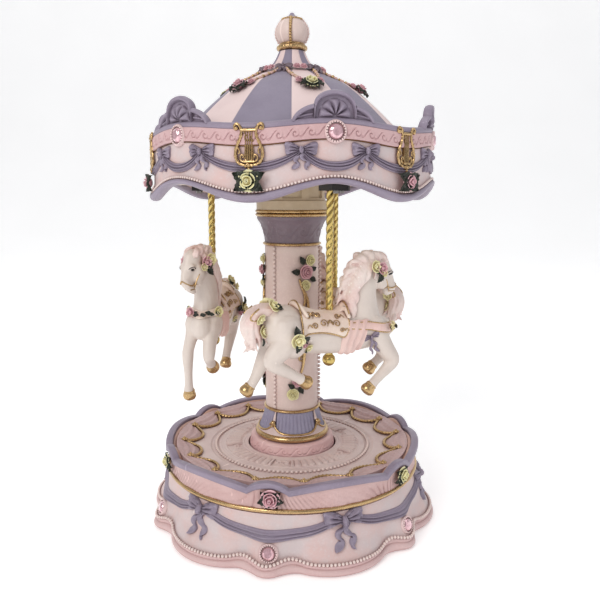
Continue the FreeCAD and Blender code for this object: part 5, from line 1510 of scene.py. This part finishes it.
# Stations of the barrel, chest, neck and head, each with its squash; then pairs for both sides.
TORSO = [
    (((31.0, 0, -9.8, 7.4), (23, 0, -9.0, 10.6), (6, 0, -9.4, 11.4), (-10, 0, -8.4, 11.2),
      (-27, 0, -4.6, 12.4)), 0.96),
    (((20, 0, -6, 11.6), (19, 0, 4, 9.8), (20.0, 0, 14, 8.4), (25.0, 0, 23.5, 7.2)), 0.78),
    (((29.5, 0, 25.0, 6.9), (32.5, 0, 20, 6.0), (35.6, 0, 15.5, 4.5), (36.8, 0, 13.0, 4.0)), 0.78),
    (((37.4, 0, 13.6, 3.4), (35.6, 0, 11.4, 3.0)), 0.85),
    (((-30, 0, 2, 6.5), (-35, 0, 3.5, 4.0)), 1.0),
]
SIDES = [
    ((29, 2.6, 19.5, 5.0), (30.5, 2.2, 16.5, 4.2)),
    ((38.2, 1.9, 14.6, 1.5), (38.8, 2.1, 13.4, 1.3)),
    ((34.8, 3.6, 22.3, 1.9), (36.2, 3.0, 21.4, 1.4)),
    ((25.0, 2.8, 29.0, 1.9), (24.0, 3.9, 33.0, 0.9)),
    ((28.5, 5.2, -10.5, 5.6), (25, 5.4, -7, 6.2)),
    ((-27, 4.6, -5, 9.6), (-24, 6.0, -12, 7.6)),
    ((-13, 5.0, -12.5, 5.0), (8, 5.0, -14.5, 5.6)),
]
# Stations of the legs; the last is the end of the leg, where the hoof goes.
NEAR_HIND = [(-25, 6.0, -8, 9.0), (-31, 6.6, -14, 6.4), (-36.2, 6.8, -19.8, 4.2), (-32, 7.0, -23.4, 3.7),
             (-26, 7.2, -27.0, 3.0), (-21.5, 7.2, -29.8, 2.6), (-19.6, 7.2, -31.0, 2.9)]
FAR_HIND = [(-26, -6.0, -9, 9.0), (-32, -6.5, -18, 6.0), (-36.0, -6.5, -24, 4.0), (-38.6, -6.5, -29, 3.1),
            (-41.0, -6.5, -33.2, 2.6), (-42.4, -6.5, -35.0, 2.9)]
STANDING_HIND = [(-26, -5.0, -9, 9.0), (-31, -4.6, -18, 6.0), (-33, -4.0, -26, 4.1), (-29.5, -3.2, -33, 3.2),
                 (-25.5, -2.5, -39, 2.7), (-24.0, -2.3, -41.6, 2.9)]
BENT_FORE = [(26.4, 5.4, -12, 7.0), (31.5, 6.4, -19.5, 5.2), (35.8, 6.6, -26.2, 4.1), (33, 6.6, -30.2, 3.4),
             (28.2, 6.6, -34.4, 2.7), (24.6, 6.6, -37.5, 2.6), (23.2, 6.6, -38.9, 2.9)]
LONG_FORE = [(27, 5.4, -9, 6.6), (29.5, 7.0, -15.5, 4.3), (30.8, 8.0, -22, 3.4), (30.2, 8.6, -28, 3.2),
             (28.4, 9.0, -36, 2.5), (26.2, 9.5, -44, 2.4), (25.2, 9.8, -48.0, 2.9)]
TUCKED_FORE = [(27, -5.2, -11, 6.4), (32.6, -5.2, -17.5, 4.3), (36.6, -5.0, -24.0, 3.5),
               (35, -4.8, -27.6, 2.9), (32.2, -4.8, -29.8, 2.5), (30.8, -4.8, -31.0, 2.9)]
GAITS = {1: (BENT_FORE, FAR_HIND), 2: (BENT_FORE, FAR_HIND), 3: (LONG_FORE, STANDING_HIND)}


def horse_skin(legs):
    """The bare horse as one skin, a little narrower through the chest than it is deep."""
    parts = [limb(stations, squash) for stations, squash in TORSO]
    for stations in SIDES:
        parts += [limb(stations, count=8), limb(mirrored(stations), count=8)]
    points, faces = fuse(parts + [limb(leg) for leg in legs], 0.5, 9)
    slim = np.interp(points[:, 0], (-12, 12), (0.95, 0.87))
    above = np.clip((points[:, 2] + 24) / 10, 0, 1)
    points[:, 1] *= 1 - (1 - slim) * above
    return points, faces


def hoof(leg):
    """Flared gilt hoof on the end of a leg, cut square below."""
    end, before = np.array(leg[-1][:3]), np.array(leg[-2][:3])
    axis = Vector(end - before).normalized()
    size = leg[-1][3]
    outline = [(0.05, -0.8), (size * 0.98, -0.8), (size * 1.10, 0.0), (size * 1.02, 0.35), (size * 1.14, 1.2),
               (size * 1.30, 2.6), (size * 1.30, 3.7), (size * 1.16, 4.7), (size * 0.84, 5.4),
               (size * 0.4, 5.7), (0.05, 5.8)]
    points, faces = turned(outline, 28, lambda b, r, z: (r * (1 + 0.10 * np.cos(np.radians(b))), z))
    turn = np.array(Vector((0, 0, 1)).rotation_difference(axis).to_matrix())
    return np.asarray(points) @ turn.T + end + np.array(axis) * 0.6, faces


class Coat:
    """Finds the horse's surface, so that tack and flowers can be laid on it."""

    def __init__(self, skin):
        points, faces = skin
        self.tree = BVHTree.FromPolygons([Vector(p) for p in points], faces)

    def from_side(self, forward, up, side, lift=0.0):
        """Surface seen from one side, and its normal."""
        hit, normal, _, _ = self.tree.ray_cast(Vector((forward, 30.0 * side, up)), Vector((0, -side, 0)))
        if hit is None:
            hit, normal, _, _ = self.tree.find_nearest(Vector((forward, 6.0 * side, up)))
        return np.array(hit + normal * lift), np.array(normal)

    def round_barrel(self, forward, angle, lift=0.0):
        """Surface at an angle round the barrel: 0 is up and 90 the near side."""
        way = Vector((0, math.sin(math.radians(angle)), math.cos(math.radians(angle))))
        middle = Vector((forward, 0, -8.0))
        hit = self.tree.ray_cast(middle + way * 40, -way)[0]
        return np.array(hit + way * lift)

    def round_chest(self, angle, up, lift):
        """Surface round the chest: 0 is forward and 90 the side; past that each unit is 1 mm back."""
        turn = math.radians(max(-90.0, min(90.0, angle)))
        way = Vector((math.cos(turn), math.sin(turn), 0))
        start = Vector((20 - max(0.0, abs(angle) - 90.0), 0, up))
        hit = self.tree.ray_cast(start + way * 40, -way)[0]
        return np.array(hit + way * lift)

    def nearest(self, point, lift):
        """Surface nearest a point."""
        hit, normal, _, _ = self.tree.find_nearest(Vector(point))
        return np.array(hit + normal * lift)


def girth_angle(coat, forward, level, side):
    """Angle round the barrel at which the surface comes down to a level."""
    angles = np.linspace(30, 150, 61)
    heights = [coat.round_barrel(forward, side * a)[2] for a in angles]
    return side * float(np.interp(-level, [-h for h in heights], angles))


def cloth(coat, back, front, edges, lift, thickness, rows=33, columns=45, gather=0.0):
    """Cloth on the barrel between two angles, and the path round its hem.

    back and front give where it starts and ends along the horse, by share of its width; edges gives
    the two angles, by share of its length.
    """
    shares = np.linspace(0, 1, columns)
    top, under = [], []
    for u in np.linspace(0, 1, rows):
        first, last = edges(u)
        rim = 1 - max(0.0, 1 - min(u, 1 - u) * rows / 1.5)
        line, below = [], []
        for v, angle in zip(shares, np.linspace(first, last, columns)):
            t = back(v) + (front(v) - back(v)) * u
            side_rim = 1 - max(0.0, 1 - min(v, 1 - v) * columns / 1.5)
            fold = gather * (0.5 + 0.5 * math.cos(2 * math.pi * (3.5 * u + 0.6 * v)))
            line.append(coat.round_barrel(t, angle, lift + fold + thickness * (0.5 + 0.5 * rim * side_rim)))
            below.append(coat.round_barrel(t, angle, -0.6))
        top.append(line)
        under.append(below)
    top, under = np.array(top), np.array(under)
    hem = np.concatenate([top[:-1, -1], top[-1, :0:-1], top[:0:-1, 0], top[0, :-1]])
    return slab(top, under), hem


def strap(coat, level, width, lift):
    """Band round the chest, with its level and width given by angle; also its two edges."""
    angles = np.linspace(-104, 104, 90)
    shares = np.linspace(-0.5, 0.5, 7)
    top, under = [[[coat.round_chest(a, level(a) + share * width(a), raised * (1 - (2 * share) ** 6 * 0.4))
                     for a in angles] for share in shares] for raised in (lift, -0.5)]
    top, under = np.array(top), np.array(under)
    return slab(top, under), top[0], top[-1]


def settled(path, rounds=3):
    """Evens out a path that was found point by point."""
    path = np.array(path, float)
    for _ in range(rounds):
        path[1:-1] = (path[:-2] + 2 * path[1:-1] + path[2:]) / 4
    return path


def facing(template, place, normal, size, turn=0.0):
    """Puts a bloom or leaf on the coat, facing along the surface's normal."""
    points, faces = template
    normal = Vector(normal).normalized()
    up = Vector((0, 0, 1)) - normal * normal.z
    up = up.normalized() if up.length > 0.1 else Vector((1, 0, 0))
    right = up.cross(normal)
    matrix = Matrix((right, up, normal)).transposed() @ Matrix.Rotation(math.radians(turn), 3, "Z")
    return np.asarray(points) * size @ np.array(matrix).T + place, faces


def hair_lock(line, width, wave, phase, count=30):
    """One lock of hair: a grooved, tapering, waving strand."""
    path = smooth_path(line, count)
    s = np.linspace(0, 1, count)
    path[:, 0] += wave * np.sin(s * 8 + phase) * s
    path[:, 2] += wave * 0.7 * np.cos(s * 7 + phase) * s
    radius = width * (0.55 + 0.75 * np.sin(np.pi * s ** 0.7)) * (1 - 0.55 * s ** 3)
    return tube(path, np.clip(radius, 0.35, None), 12, False,
                lambda a, d: 1 + 0.13 * np.cos(5 * a + d * 0.35))


def horse_mane():
    """Crest, forelock and the locks that fall on both sides of the neck."""
    crest = [(28, 0, 28.6), (24, 0, 29.4), (19, 0, 28.6), (15.2, 0, 25.4), (12.6, 0, 20.8), (10.8, 0, 15.6),
             (9.4, 0, 10.3), (8.8, 0, 6.0)]
    shares = np.linspace(0, 1, len(crest) - 1)
    parts = [limb([(*p, r) for p, r in zip(crest, (2.2, 3.0, 3.2, 3.0, 2.8, 2.5, 2.1, 1.5))], 0.9, 40)]
    for i in range(22):
        t, s = (np.interp(i / 21, shares, [p[k] for p in crest[1:]]) for k in (0, 2))
        side = (-1, 1)[i % 2] * (1.2 + 0.8 * math.sin(i * 2.9))
        lean = 1.6 * math.sin(i * 1.9)
        parts.append(hair_lock([(t + 3, side, s + 1.4), (t - 0.4, side * 1.3, s + 2.6 + 0.5 * lean),
                                (t - 3.4, side, s + 1.4 + lean), (t - 4.4, side * 0.6, s - 1.8 + lean)],
                               1.15, 0.5, i * 1.9))
    for i, (t, s) in enumerate(((17.0, 30.8), (21.0, 32.2), (25.0, 32.4), (28.6, 31.6))):
        for side in (-1, 1):
            parts.append(hair_lock([(t + 3, side * 3.6, s - 4.6), (t + 2.2, side * 3.4, s - 1.2),
                                    (t, side * 1.6, s), (t - 2.8, side * 1.2, s - 1.6)],
                                   1.35, 0.6, i * 2.3 + side))
    for side in (-1, 1):
        for i in range(19):
            t, s = (np.interp(i / 18, shares, [p[k] for p in crest[1:]]) for k in (0, 2))
            drop = 6.0 + 2.6 * math.sin(i * 1.7 + side)
            parts.append(hair_lock([(t, side * 1.5, s), (t + 1.2, side * 4.2, s - 2.0),
                                    (t + 2.0 + 0.9 * math.sin(i * 2.2), side * 5.5, s - 2.6 - drop * 0.5),
                                    (t + 0.6 + 1.8 * math.sin(i * 1.3), side * 5.6, s - 3.0 - drop)],
                                   1.5, 0.7, i * 2.1 + side))
        for i in range(3):
            parts.append(hair_lock([(24 + i * 2.0, side * 1.6, 30.6),
                                    (28 + i * 1.5, side * 3.4, 31.0 - i * 0.5),
                                    (31.6 + i * 0.6, side * (3.8 - i), 29.0 - i * 0.7),
                                    (33.4 + i * 0.4, side * (3.2 - i), 26.4 - i * 0.6)],
                                   1.1, 0.5, i * 1.7 + side))
    return fuse(parts, 0.4, 3)


def horse_tail():
    """Tail: eleven locks round a bent middle line, and three loose ends."""
    middle = [(-30, 0, 3.6), (-36, 0, 5.2), (-41.5, 0, 4.9), (-44.6, 0, 0.8), (-44.2, 0, -4.6),
              (-42.2, 0, -9.5), (-41.0, 0, -13.4)]
    parts = []
    for i in range(11):
        angle = 2 * math.pi * i / 10
        reach = 0.0 if i == 10 else 3.0
        spread = (0.3, 0.95, 1.2, 1.2, 1.15, 1.3, 1.5 + 0.5 * math.sin(i * 2.4))
        line = [(t + reach * k * math.cos(angle) * 0.85, reach * k * math.sin(angle),
                 s + reach * k * math.cos(angle) * 0.5) for (t, _, s), k in zip(middle, spread)]
        parts.append(hair_lock(line, 1.75, 0.8, i * 1.3, 44))
    for side, height in ((1, -8.5), (-1, -10.5), (1, -5.0)):
        parts.append(hair_lock([(-42, side * 2, height + 4), (-45.0, side * 3, height),
                                (-45, side * 3.4, height - 3.4), (-47.4, side * 3, height - 5.4)],
                               1.2, 0.5, height))
    return fuse(parts, 0.4, 2)


def saddle_seat():
    """Raised pommel and cantle with the padded seat between them."""
    parts = []
    for side in (-1, 1):
        parts.append(limb([(-20.4, 0, 7.6, 1.7), (-19.6, side * 4.5, 6.6, 1.6),
                           (-17.5, side * 9.0, 2.6, 1.1)]))
        parts.append(limb([(7.6, 0, 5.6, 1.7), (7.4, side * 4.2, 4.2, 1.5), (7.2, side * 8.4, 0.2, 1.1)]))
    parts.append(limb([(-18.5, 0, 5.0, 2.2), (-9, 0, 1.9, 2.0), (2, 0, 1.4, 2.0), (6.5, 0, 3.4, 2.0)], 2.2))
    return fuse(parts, 0.42, 5)


def turned_head(points, angle):
    """Turns everything above the withers about the neck, more towards the head."""
    if not angle:
        return points
    points = np.array(points, float)
    share = np.clip((points[:, 2] - 1.0) / 17.0, 0, 1) * np.clip((points[:, 0] - 4.0) / 6.0, 0, 1)
    turn = np.radians(angle) * share * share * (3 - 2 * share)
    x, y = points[:, 0] - 19.0, points[:, 1].copy()
    points[:, 2] += 1.8 * share
    points[:, 0] = 19.0 + x * np.cos(turn) - y * np.sin(turn)
    points[:, 1] = x * np.sin(turn) + y * np.cos(turn)
    return points


def on_pole(points, bearing, angle):
    """From the horse's own frame to the row frame."""
    points = turned_head(points, angle)
    b = math.radians(bearing)
    forward = np.array([math.cos(b), math.sin(b)])
    out = np.array([math.sin(b), -math.cos(b)])
    plan = points[:, :1] * forward + (POLE_CIRCLE + points[:, 1:2]) * out
    return np.column_stack([plan, points[:, 2] + SADDLE_HEIGHT])


# Scrolls on the saddle flap: forward, up, direction and size.
FLAP_SCROLLS = ((-15.5, 1.5, 1, 2.0), (-14.5, -3.2, -1, 1.9), (-7.0, -2.6, 1, 2.3), (-1.5, -3.4, -1, 2.3),
                (3.0, -6.4, 1, 1.6), (-11.0, 0.8, -1, 1.6), (1.5, -0.6, 1, 1.5))


def scroll_work(coat, side):
    """Gilt scrolls on the saddle flap, each a curl with a tail."""
    parts = []
    lift = 1.5
    for t0, s0, flip, size in FLAP_SCROLLS:
        path = [coat.from_side(t0 + flip * (across - size / 2), s0 + up * 0.8, side, lift)[0]
                for across, up in zip(*curl(size, 2.5, 0.75, 24))]
        parts.append(tube(settled(path, 1), np.linspace(0.18, 0.32, 24), 6))
        tail = [coat.from_side(t0 + flip * (size / 2 + size * 1.6 * k),
                               s0 - 0.4 + size * 0.7 * math.sin(k * 3.4), side, lift)[0]
                for k in np.linspace(0, 1, 9)]
        parts.append(tube(settled(tail, 1), np.linspace(0.32, 0.14, 9), 6))
    return parts


def bearing_way(angle):
    """Outward direction at an angle round the chest."""
    return math.cos(math.radians(angle)), math.sin(math.radians(angle)), 0.1


def saddle(coat, out):
    """Saddle cloth with its seat, gilt hem and gilt arches."""
    def edges(u):
        t = -21 + 26 * u
        level = -7.0 + 0.9 * math.sin(math.pi * u) - 3.2 * u ** 2.4
        return girth_angle(coat, t, level, -1), girth_angle(coat, t, level, 1)
    flap, hem = cloth(coat, lambda v: -20.0 - 1.9 * abs(2 * v - 1) ** 2,
                      lambda v: 7.6 - 4.0 * abs(2 * v - 1) ** 5, edges, 0.3, 0.9)
    out["saddle_resin"] += [flap, saddle_seat()]
    out["gold_paint"].append(tube(settled(hem, 2), 0.42, 8, True))
    for t, s in ((-20.2, 8.4), (7.6, 6.4)):
        arch = [coat_arch(t, s, k) for k in np.linspace(-1, 1, 31)]
        out["gold_paint"].append(tube(settled(arch), 0.4, 8))


def falling_cloth(coat, side):
    """The gathered cloth that falls in front of the saddle."""
    def edges(u):
        return girth_angle(coat, 8, -2.5, side), girth_angle(coat, 4 + 9 * u, -20.2 - u, side)
    return cloth(coat, lambda v: 4.2 - 2.6 * v, lambda v: 20.0 - 5.4 * v, edges, 0.0, 0.5, 31, 31, 0.8)[0]


STRAP_MARKS = (0, 45, 90, 104)


def breast_strap(coat, out):
    """Broad breast strap with gilt edges and a few flowers; its place, and its blooms and leaves."""
    levels, widths = (-8.7, -7.4, -5.6, -4.6), (5.2, 4.8, 4.1, 2.6)
    band, low, high = strap(coat, lambda a: float(np.interp(abs(a), STRAP_MARKS, levels)),
                            lambda a: float(np.interp(abs(a), STRAP_MARKS, widths)), 1.0)
    out["strap_resin"].append(band)
    out["gold_paint"] += [tube(settled(line), 0.34, 8) for line in (low, high)]
    blooms = ((-24, 2.2, "rose_pink"), (24, 2.2, "rose_yellow"), (0, 2.4, "rose_yellow"))
    sprays = ((10, 5, 3.4), (-10, 175, 3.4), (36, 10, 3.0), (-36, 170, 3.0))
    return levels, blooms, sprays


def breast_wreath(coat, out):
    """Narrow band that carries a wreath; its place, and its blooms and leaves."""
    levels, widths = (-2.6, -1.8, -1.6, -4.2), (3.2, 3.0, 2.6, 2.0)
    band = strap(coat, lambda a: float(np.interp(abs(a), STRAP_MARKS, levels)),
                 lambda a: float(np.interp(abs(a), STRAP_MARKS, widths)), 1.3)[0]
    out["saddle_resin"].append(band)
    blooms = ((34, 2.9, "rose_pink"), (-52, 2.9, "rose_yellow"), (66, 2.5, "rose_yellow"),
              (-76, 2.0, "rose_pink"))
    sprays = ((0, 175, 3.6), (4, -5, 3.4), (-26, 15, 3.6), (-22, 195, 3.0), (50, 160, 3.4), (78, 20, 3.4),
              (60, 60, 2.8), (-66, 30, 3.0), (-40, -160, 2.6), (18, 140, 2.4))
    return levels, blooms, sprays


def tack(coat, outer, garland):
    """Saddle, straps, gilding, flowers and eyes: lists of parts for each finish.

    coat is the bare horse and outer the horse with its hair; garland swaps the breast strap for a
    wreath of blooms that sits higher.
    """
    out = {key: [] for key in ("saddle_resin", "strap_resin", "gold_paint", "lavender_resin", "rose_pink",
                               "rose_yellow", "leaf_green", "eye")}
    saddle(coat, out)
    out["strap_resin"] += [falling_cloth(coat, side) for side in (-1, 1)]
    levels, blooms, sprays = breast_wreath(coat, out) if garland else breast_strap(coat, out)
    for side in (-1, 1):
        out["gold_paint"] += scroll_work(coat, side)
        dress_side(coat, outer, side, out, garland)
    for angle, size, paint in blooms:
        place = coat.round_chest(angle, float(np.interp(abs(angle), STRAP_MARKS, levels)), 1.3)
        out[paint].append(facing(BLOSSOM, place, bearing_way(angle), size, angle))
    for angle, turn, length in sprays:
        place = coat.round_chest(angle, float(np.interp(abs(angle), STRAP_MARKS, levels)), 1.5)
        out["leaf_green"].append(facing(LEAF, place, bearing_way(angle), length, turn))
    return out


def coat_arch(forward, top, k):
    """Point on the gilt arch over the pommel or cantle, from one side (-1) to the other (1)."""
    return np.array([forward - 0.5 * abs(k), 8.9 * k, top + 1.0 - 5.6 * abs(k) ** 2.2])


def on_hair(outer, t, s, side):
    """Place and direction for a bloom: proud of the mane beside the head, on the skin elsewhere."""
    if s < 15:
        return outer.from_side(t, s, side, 0.5)
    place = outer.from_side(t, s, side, 0.9)[0]
    place[1] = side * max(abs(place[1]), 7.0)
    return place, (0.25, side, 0.12)


CHEEK = ((27.6, 25.5), (29.4, 21.8), (31.4, 18.0), (33.4, 14.6), (35.2, 11.8))
# Blooms on each side of the horse: forward, up, paint and size.
SIDE_BLOOMS = ((-33.4, 9.0, "rose_yellow", 2.7), (-25.1, -8.3, "rose_yellow", 2.9),
               (-17.1, -13.4, "rose_yellow", 2.0), (23.6, 25.6, "rose_yellow", 2.5),
               (29.0, 21.6, "rose_yellow", 1.7), (27.0, 24.2, "rose_pink", 2.5),
               (-21.0, -10.4, "rose_pink", 1.8), (-39.6, -5.1, "rose_yellow", 2.4),
               (-42.0, 2.6, "rose_yellow", 2.3))
# Leaves on each side of the horse: forward, up, turn and length.
SIDE_LEAVES = ((-33.6, 7.4, -130, 5.4), (-31.0, 9.2, 15, 3.4), (-25.4, -6.4, 85, 5.2), (-19.4, -9.6, 35, 5.4),
               (-24.6, -10.0, -75, 4.8), (23.0, 23.6, 195, 5.4), (27.4, 21.0, -50, 5.4),
               (-40.6, -8.0, -60, 4.0), (-17.4, -14.6, -20, 3.0), (5.5, 3.6, 20, 3.4))


def bridle(coat, side):
    """Gilt cheek strap, nose band and mouth line."""
    cheek = [coat.from_side(t, s, side, 0.25)[0] for t, s in CHEEK]
    nose = [coat.nearest((36.4 + 4.2 * math.cos(a), side * 5.0 * math.sin(a), 15.2 - 2.6 * math.sin(a)), 0.25)
            for a in np.linspace(0, np.pi, 26)]
    mouth = [coat.nearest((38.8 - 2.0 * k, side * (1.0 + 2.0 * k), 11.4 - 0.5 * k), 0.05)
             for k in np.linspace(0, 2.2, 8)]
    return [tube(smooth_path(settled(cheek, 1), 24), 0.32, 7), tube(settled(nose), 0.34, 7),
            tube(settled(mouth, 1), 0.24, 6)]


def painted_eye(coat, side):
    """Dark eye with a line of lashes over it."""
    t, s = 35.2, 20.8
    place, normal = coat.from_side(t, s, side)
    ball, faces = ball_template(16, 10)
    lash = [coat.from_side(t + 2.1 * math.cos(a), s + 1.3 * math.sin(a) + 0.3, side, 0.12)[0]
            for a in np.linspace(0.1, 3.0, 9)]
    return [facing((ball * [1.45, 0.8, 0.45], faces), place, normal, 1.0, -22 * side),
            tube(settled(lash, 1), 0.2, 6)]


def dress_side(coat, outer, side, out, garland):
    """Bridle, eye, bow and flowers on one side of the horse."""
    out["gold_paint"] += bridle(coat, side)
    out["eye"] += painted_eye(coat, side)
    if not garland:
        place, normal = coat.from_side(20.8, -11.8, side, 0.3)
        out["lavender_resin"].append(facing(bow_template(4.0, 9.5), place, normal, 1.0, -16 * side))
    for t, s, paint, size in SIDE_BLOOMS:
        place, normal = on_hair(outer, t, s, side)
        out[paint].append(facing(BLOSSOM, place, normal, size * 1.25, 31 * t))
    for t, s, angle, size in SIDE_LEAVES:
        place, normal = on_hair(outer, t, s, side)
        out["leaf_green"].append(facing(LEAF, place, normal, size, angle if side > 0 else 180 - angle))


def tail_cord(tail):
    """Gilt crupper cord that loops down each side of the tail."""
    coat = Coat(tail)
    parts = []
    for side in (-1, 1):
        line = [coat.from_side(t, s, side, 0.2)[0]
                for t, s in ((-42.5, 9.0), (-46.0, 7.4), (-47.8, 4.6), (-46.8, 1.8), (-44.6, 1.0),
                             (-42.6, 2.0))]
        parts.append(tube(smooth_path(settled(line, 1), 30), 0.45, 8))
    return parts


def build_horses():
    """The three horses; those with the same legs and tack share one modelling."""
    mane, tail = horse_mane(), horse_tail()
    cord = tail_cord(tail)
    dressed = {}
    for index, bearing in enumerate(HORSE_BEARINGS, 1):
        gait = GAITS[index]
        legs = (NEAR_HIND, gait[1], gait[0], TUCKED_FORE)
        garland = index in HEAD_TURN
        if garland not in dressed:
            skin = horse_skin(legs)
            dressed[garland] = skin, tack(Coat(skin), Coat(join([skin, mane, tail])), garland)
        skin, outfit = dressed[garland]
        hooves = [hoof(leg) for leg in legs]
        parts = {"white_resin": [skin], "mane_resin": [mane, tail], **outfit}
        parts["gold_paint"] = parts["gold_paint"] + hooves + cord
        turn = HEAD_TURN.get(index, 0.0)
        for paint, pieces in parts.items():
            if not pieces:
                continue
            points, faces = join(pieces)
            piece("horse_%d_%s" % (index, PART_OF[paint]), on_pole(points, bearing, turn), faces,
                  "horse_body_%d" % index, paint, ("horse_%d" % index,), 50)


# The third horse looks outwards, by this angle, and wears the wreath.
HEAD_TURN = {3: 25.0}
PART_OF = {"white_resin": "body", "mane_resin": "hair", "saddle_resin": "saddle", "strap_resin": "straps",
           "gold_paint": "gilding", "lavender_resin": "bows", "rose_pink": "pink_blooms",
           "rose_yellow": "yellow_blooms", "leaf_green": "leaves", "eye": "eyes"}


# --- CAD nodes that stay, stage, light and camera -----------------------------------------------
def paint_kept_nodes():
    """Gives every CAD node that still shows its procedural finish."""
    for part in frame["record"]["subparts"]:
        node = frame["nodes"][part["node"]]
        if not node.hide_render:
            for spot in node.material_slots:
                spot.material = PAINT[part["material_slot"]]


def build_stage():
    """Pale floor that curves up into the backdrop."""
    profile = [(-3.0, 0.0), (1.2, 0.0)]
    profile += [(1.2 + 1.2 * math.sin(a), 1.2 - 1.2 * math.cos(a)) for a in np.linspace(0.1, math.pi / 2, 14)]
    profile += [(2.4, 5.0)]
    points = [(x, y, z) for y, z in profile for x in (-5.0, 5.0)]
    mesh = bpy.data.meshes.new("floor")
    mesh.from_pydata(points, [], grid(len(profile), 2))
    mesh.shade_smooth()
    make = Nodes("floor_paper")
    make.link(make.mix(make.ramp(make.noise(6, 2), 0.3, 0.7), (0.93, 0.93, 0.93, 1), (0.96, 0.96, 0.96, 1)),
              make.shader.inputs["Base Color"])
    make.set(Roughness=0.9, Emission_Strength=0.34)
    mesh.materials.append(make.material)
    floor = bpy.data.objects.new("floor", mesh)
    bpy.context.scene.collection.objects.link(floor)


# name, place, width, power and colour of each lamp, which all face the middle of the piece
LAMPS = (
    ("key", (-0.9, -1.3, 1.2), 0.9, 15.6, (1.0, 0.97, 0.93)),
    ("fill", (1.4, -1.0, 0.7), 1.2, 3.6, (1.0, 0.98, 0.97)),
    ("top", (0.0, 0.2, 1.7), 1.2, 5.0, (1.0, 1.0, 1.0)),
)
LAMP_TARGET = (0, 0, 0.14)
CAMERA_PLACE = (0.0, -0.3853, 0.19188)
CAMERA_TILT = 80.66
CAMERA_LENS = 39.44
CAMERA_SHIFT = 8 / 600


def soft_light(name, place, size, power, colour):
    """A square lamp that belongs to the stage."""
    data = bpy.data.lights.new(name, "AREA")
    data.shape = "SQUARE"
    data.size = size
    data.energy = power
    data.color = colour
    obj = bpy.data.objects.new(name, data)
    obj.location = place
    obj.rotation_euler = (Vector(LAMP_TARGET) - Vector(place)).to_track_quat("-Z", "Y").to_euler()
    bpy.context.scene.collection.objects.link(obj)


def build_light():
    """The three lamps and a faint light from all round."""
    for lamp in LAMPS:
        soft_light(*lamp)
    world = bpy.data.worlds.new("studio")
    world.use_nodes = True
    backdrop = world.node_tree.nodes["Background"]
    backdrop.inputs["Color"].default_value = (0.95, 0.96, 1.0, 1.0)
    backdrop.inputs["Strength"].default_value = 0.38
    bpy.context.scene.world = world
    bpy.context.scene.view_settings.view_transform = "Standard"


def build_camera():
    """The camera of the photograph."""
    data = bpy.data.cameras.new("camera")
    data.lens = CAMERA_LENS
    data.sensor_width = 36.0
    data.shift_x = CAMERA_SHIFT
    camera = bpy.data.objects.new("camera", data)
    camera.location = CAMERA_PLACE
    camera.rotation_euler = (math.radians(CAMERA_TILT), 0.0, 0.0)
    bpy.context.scene.collection.objects.link(camera)
    bpy.context.scene.camera = camera


def build_base():
    """Everything that stands still."""
    build_shell()
    build_foot_pearls()
    build_trim()
    build_gallery()
    build_deck()
    build_drapes()
    build_base_ribbons()
    build_base_ornaments()
    build_collar()
    build_foot_cone()
    build_column_gilding()
    build_shaft()
    build_capital()
    build_vines()


def build_canopy():
    """Everything that turns with the canopy."""
    build_fascia()
    build_scroll_band()
    build_crests()
    build_canopy_ribbons()
    build_corner_ornaments()
    build_roof()
    build_garland()
    build_finial()


def build_everything():
    """The whole carousel, then the CAD's own pieces, the stage, the light and the camera."""
    build_base()
    build_canopy()
    for index, bearing in enumerate(HORSE_BEARINGS, 1):
        build_pole(index, bearing)
    build_horses()
    paint_kept_nodes()
    build_stage()
    build_light()
    build_camera()


build_everything()
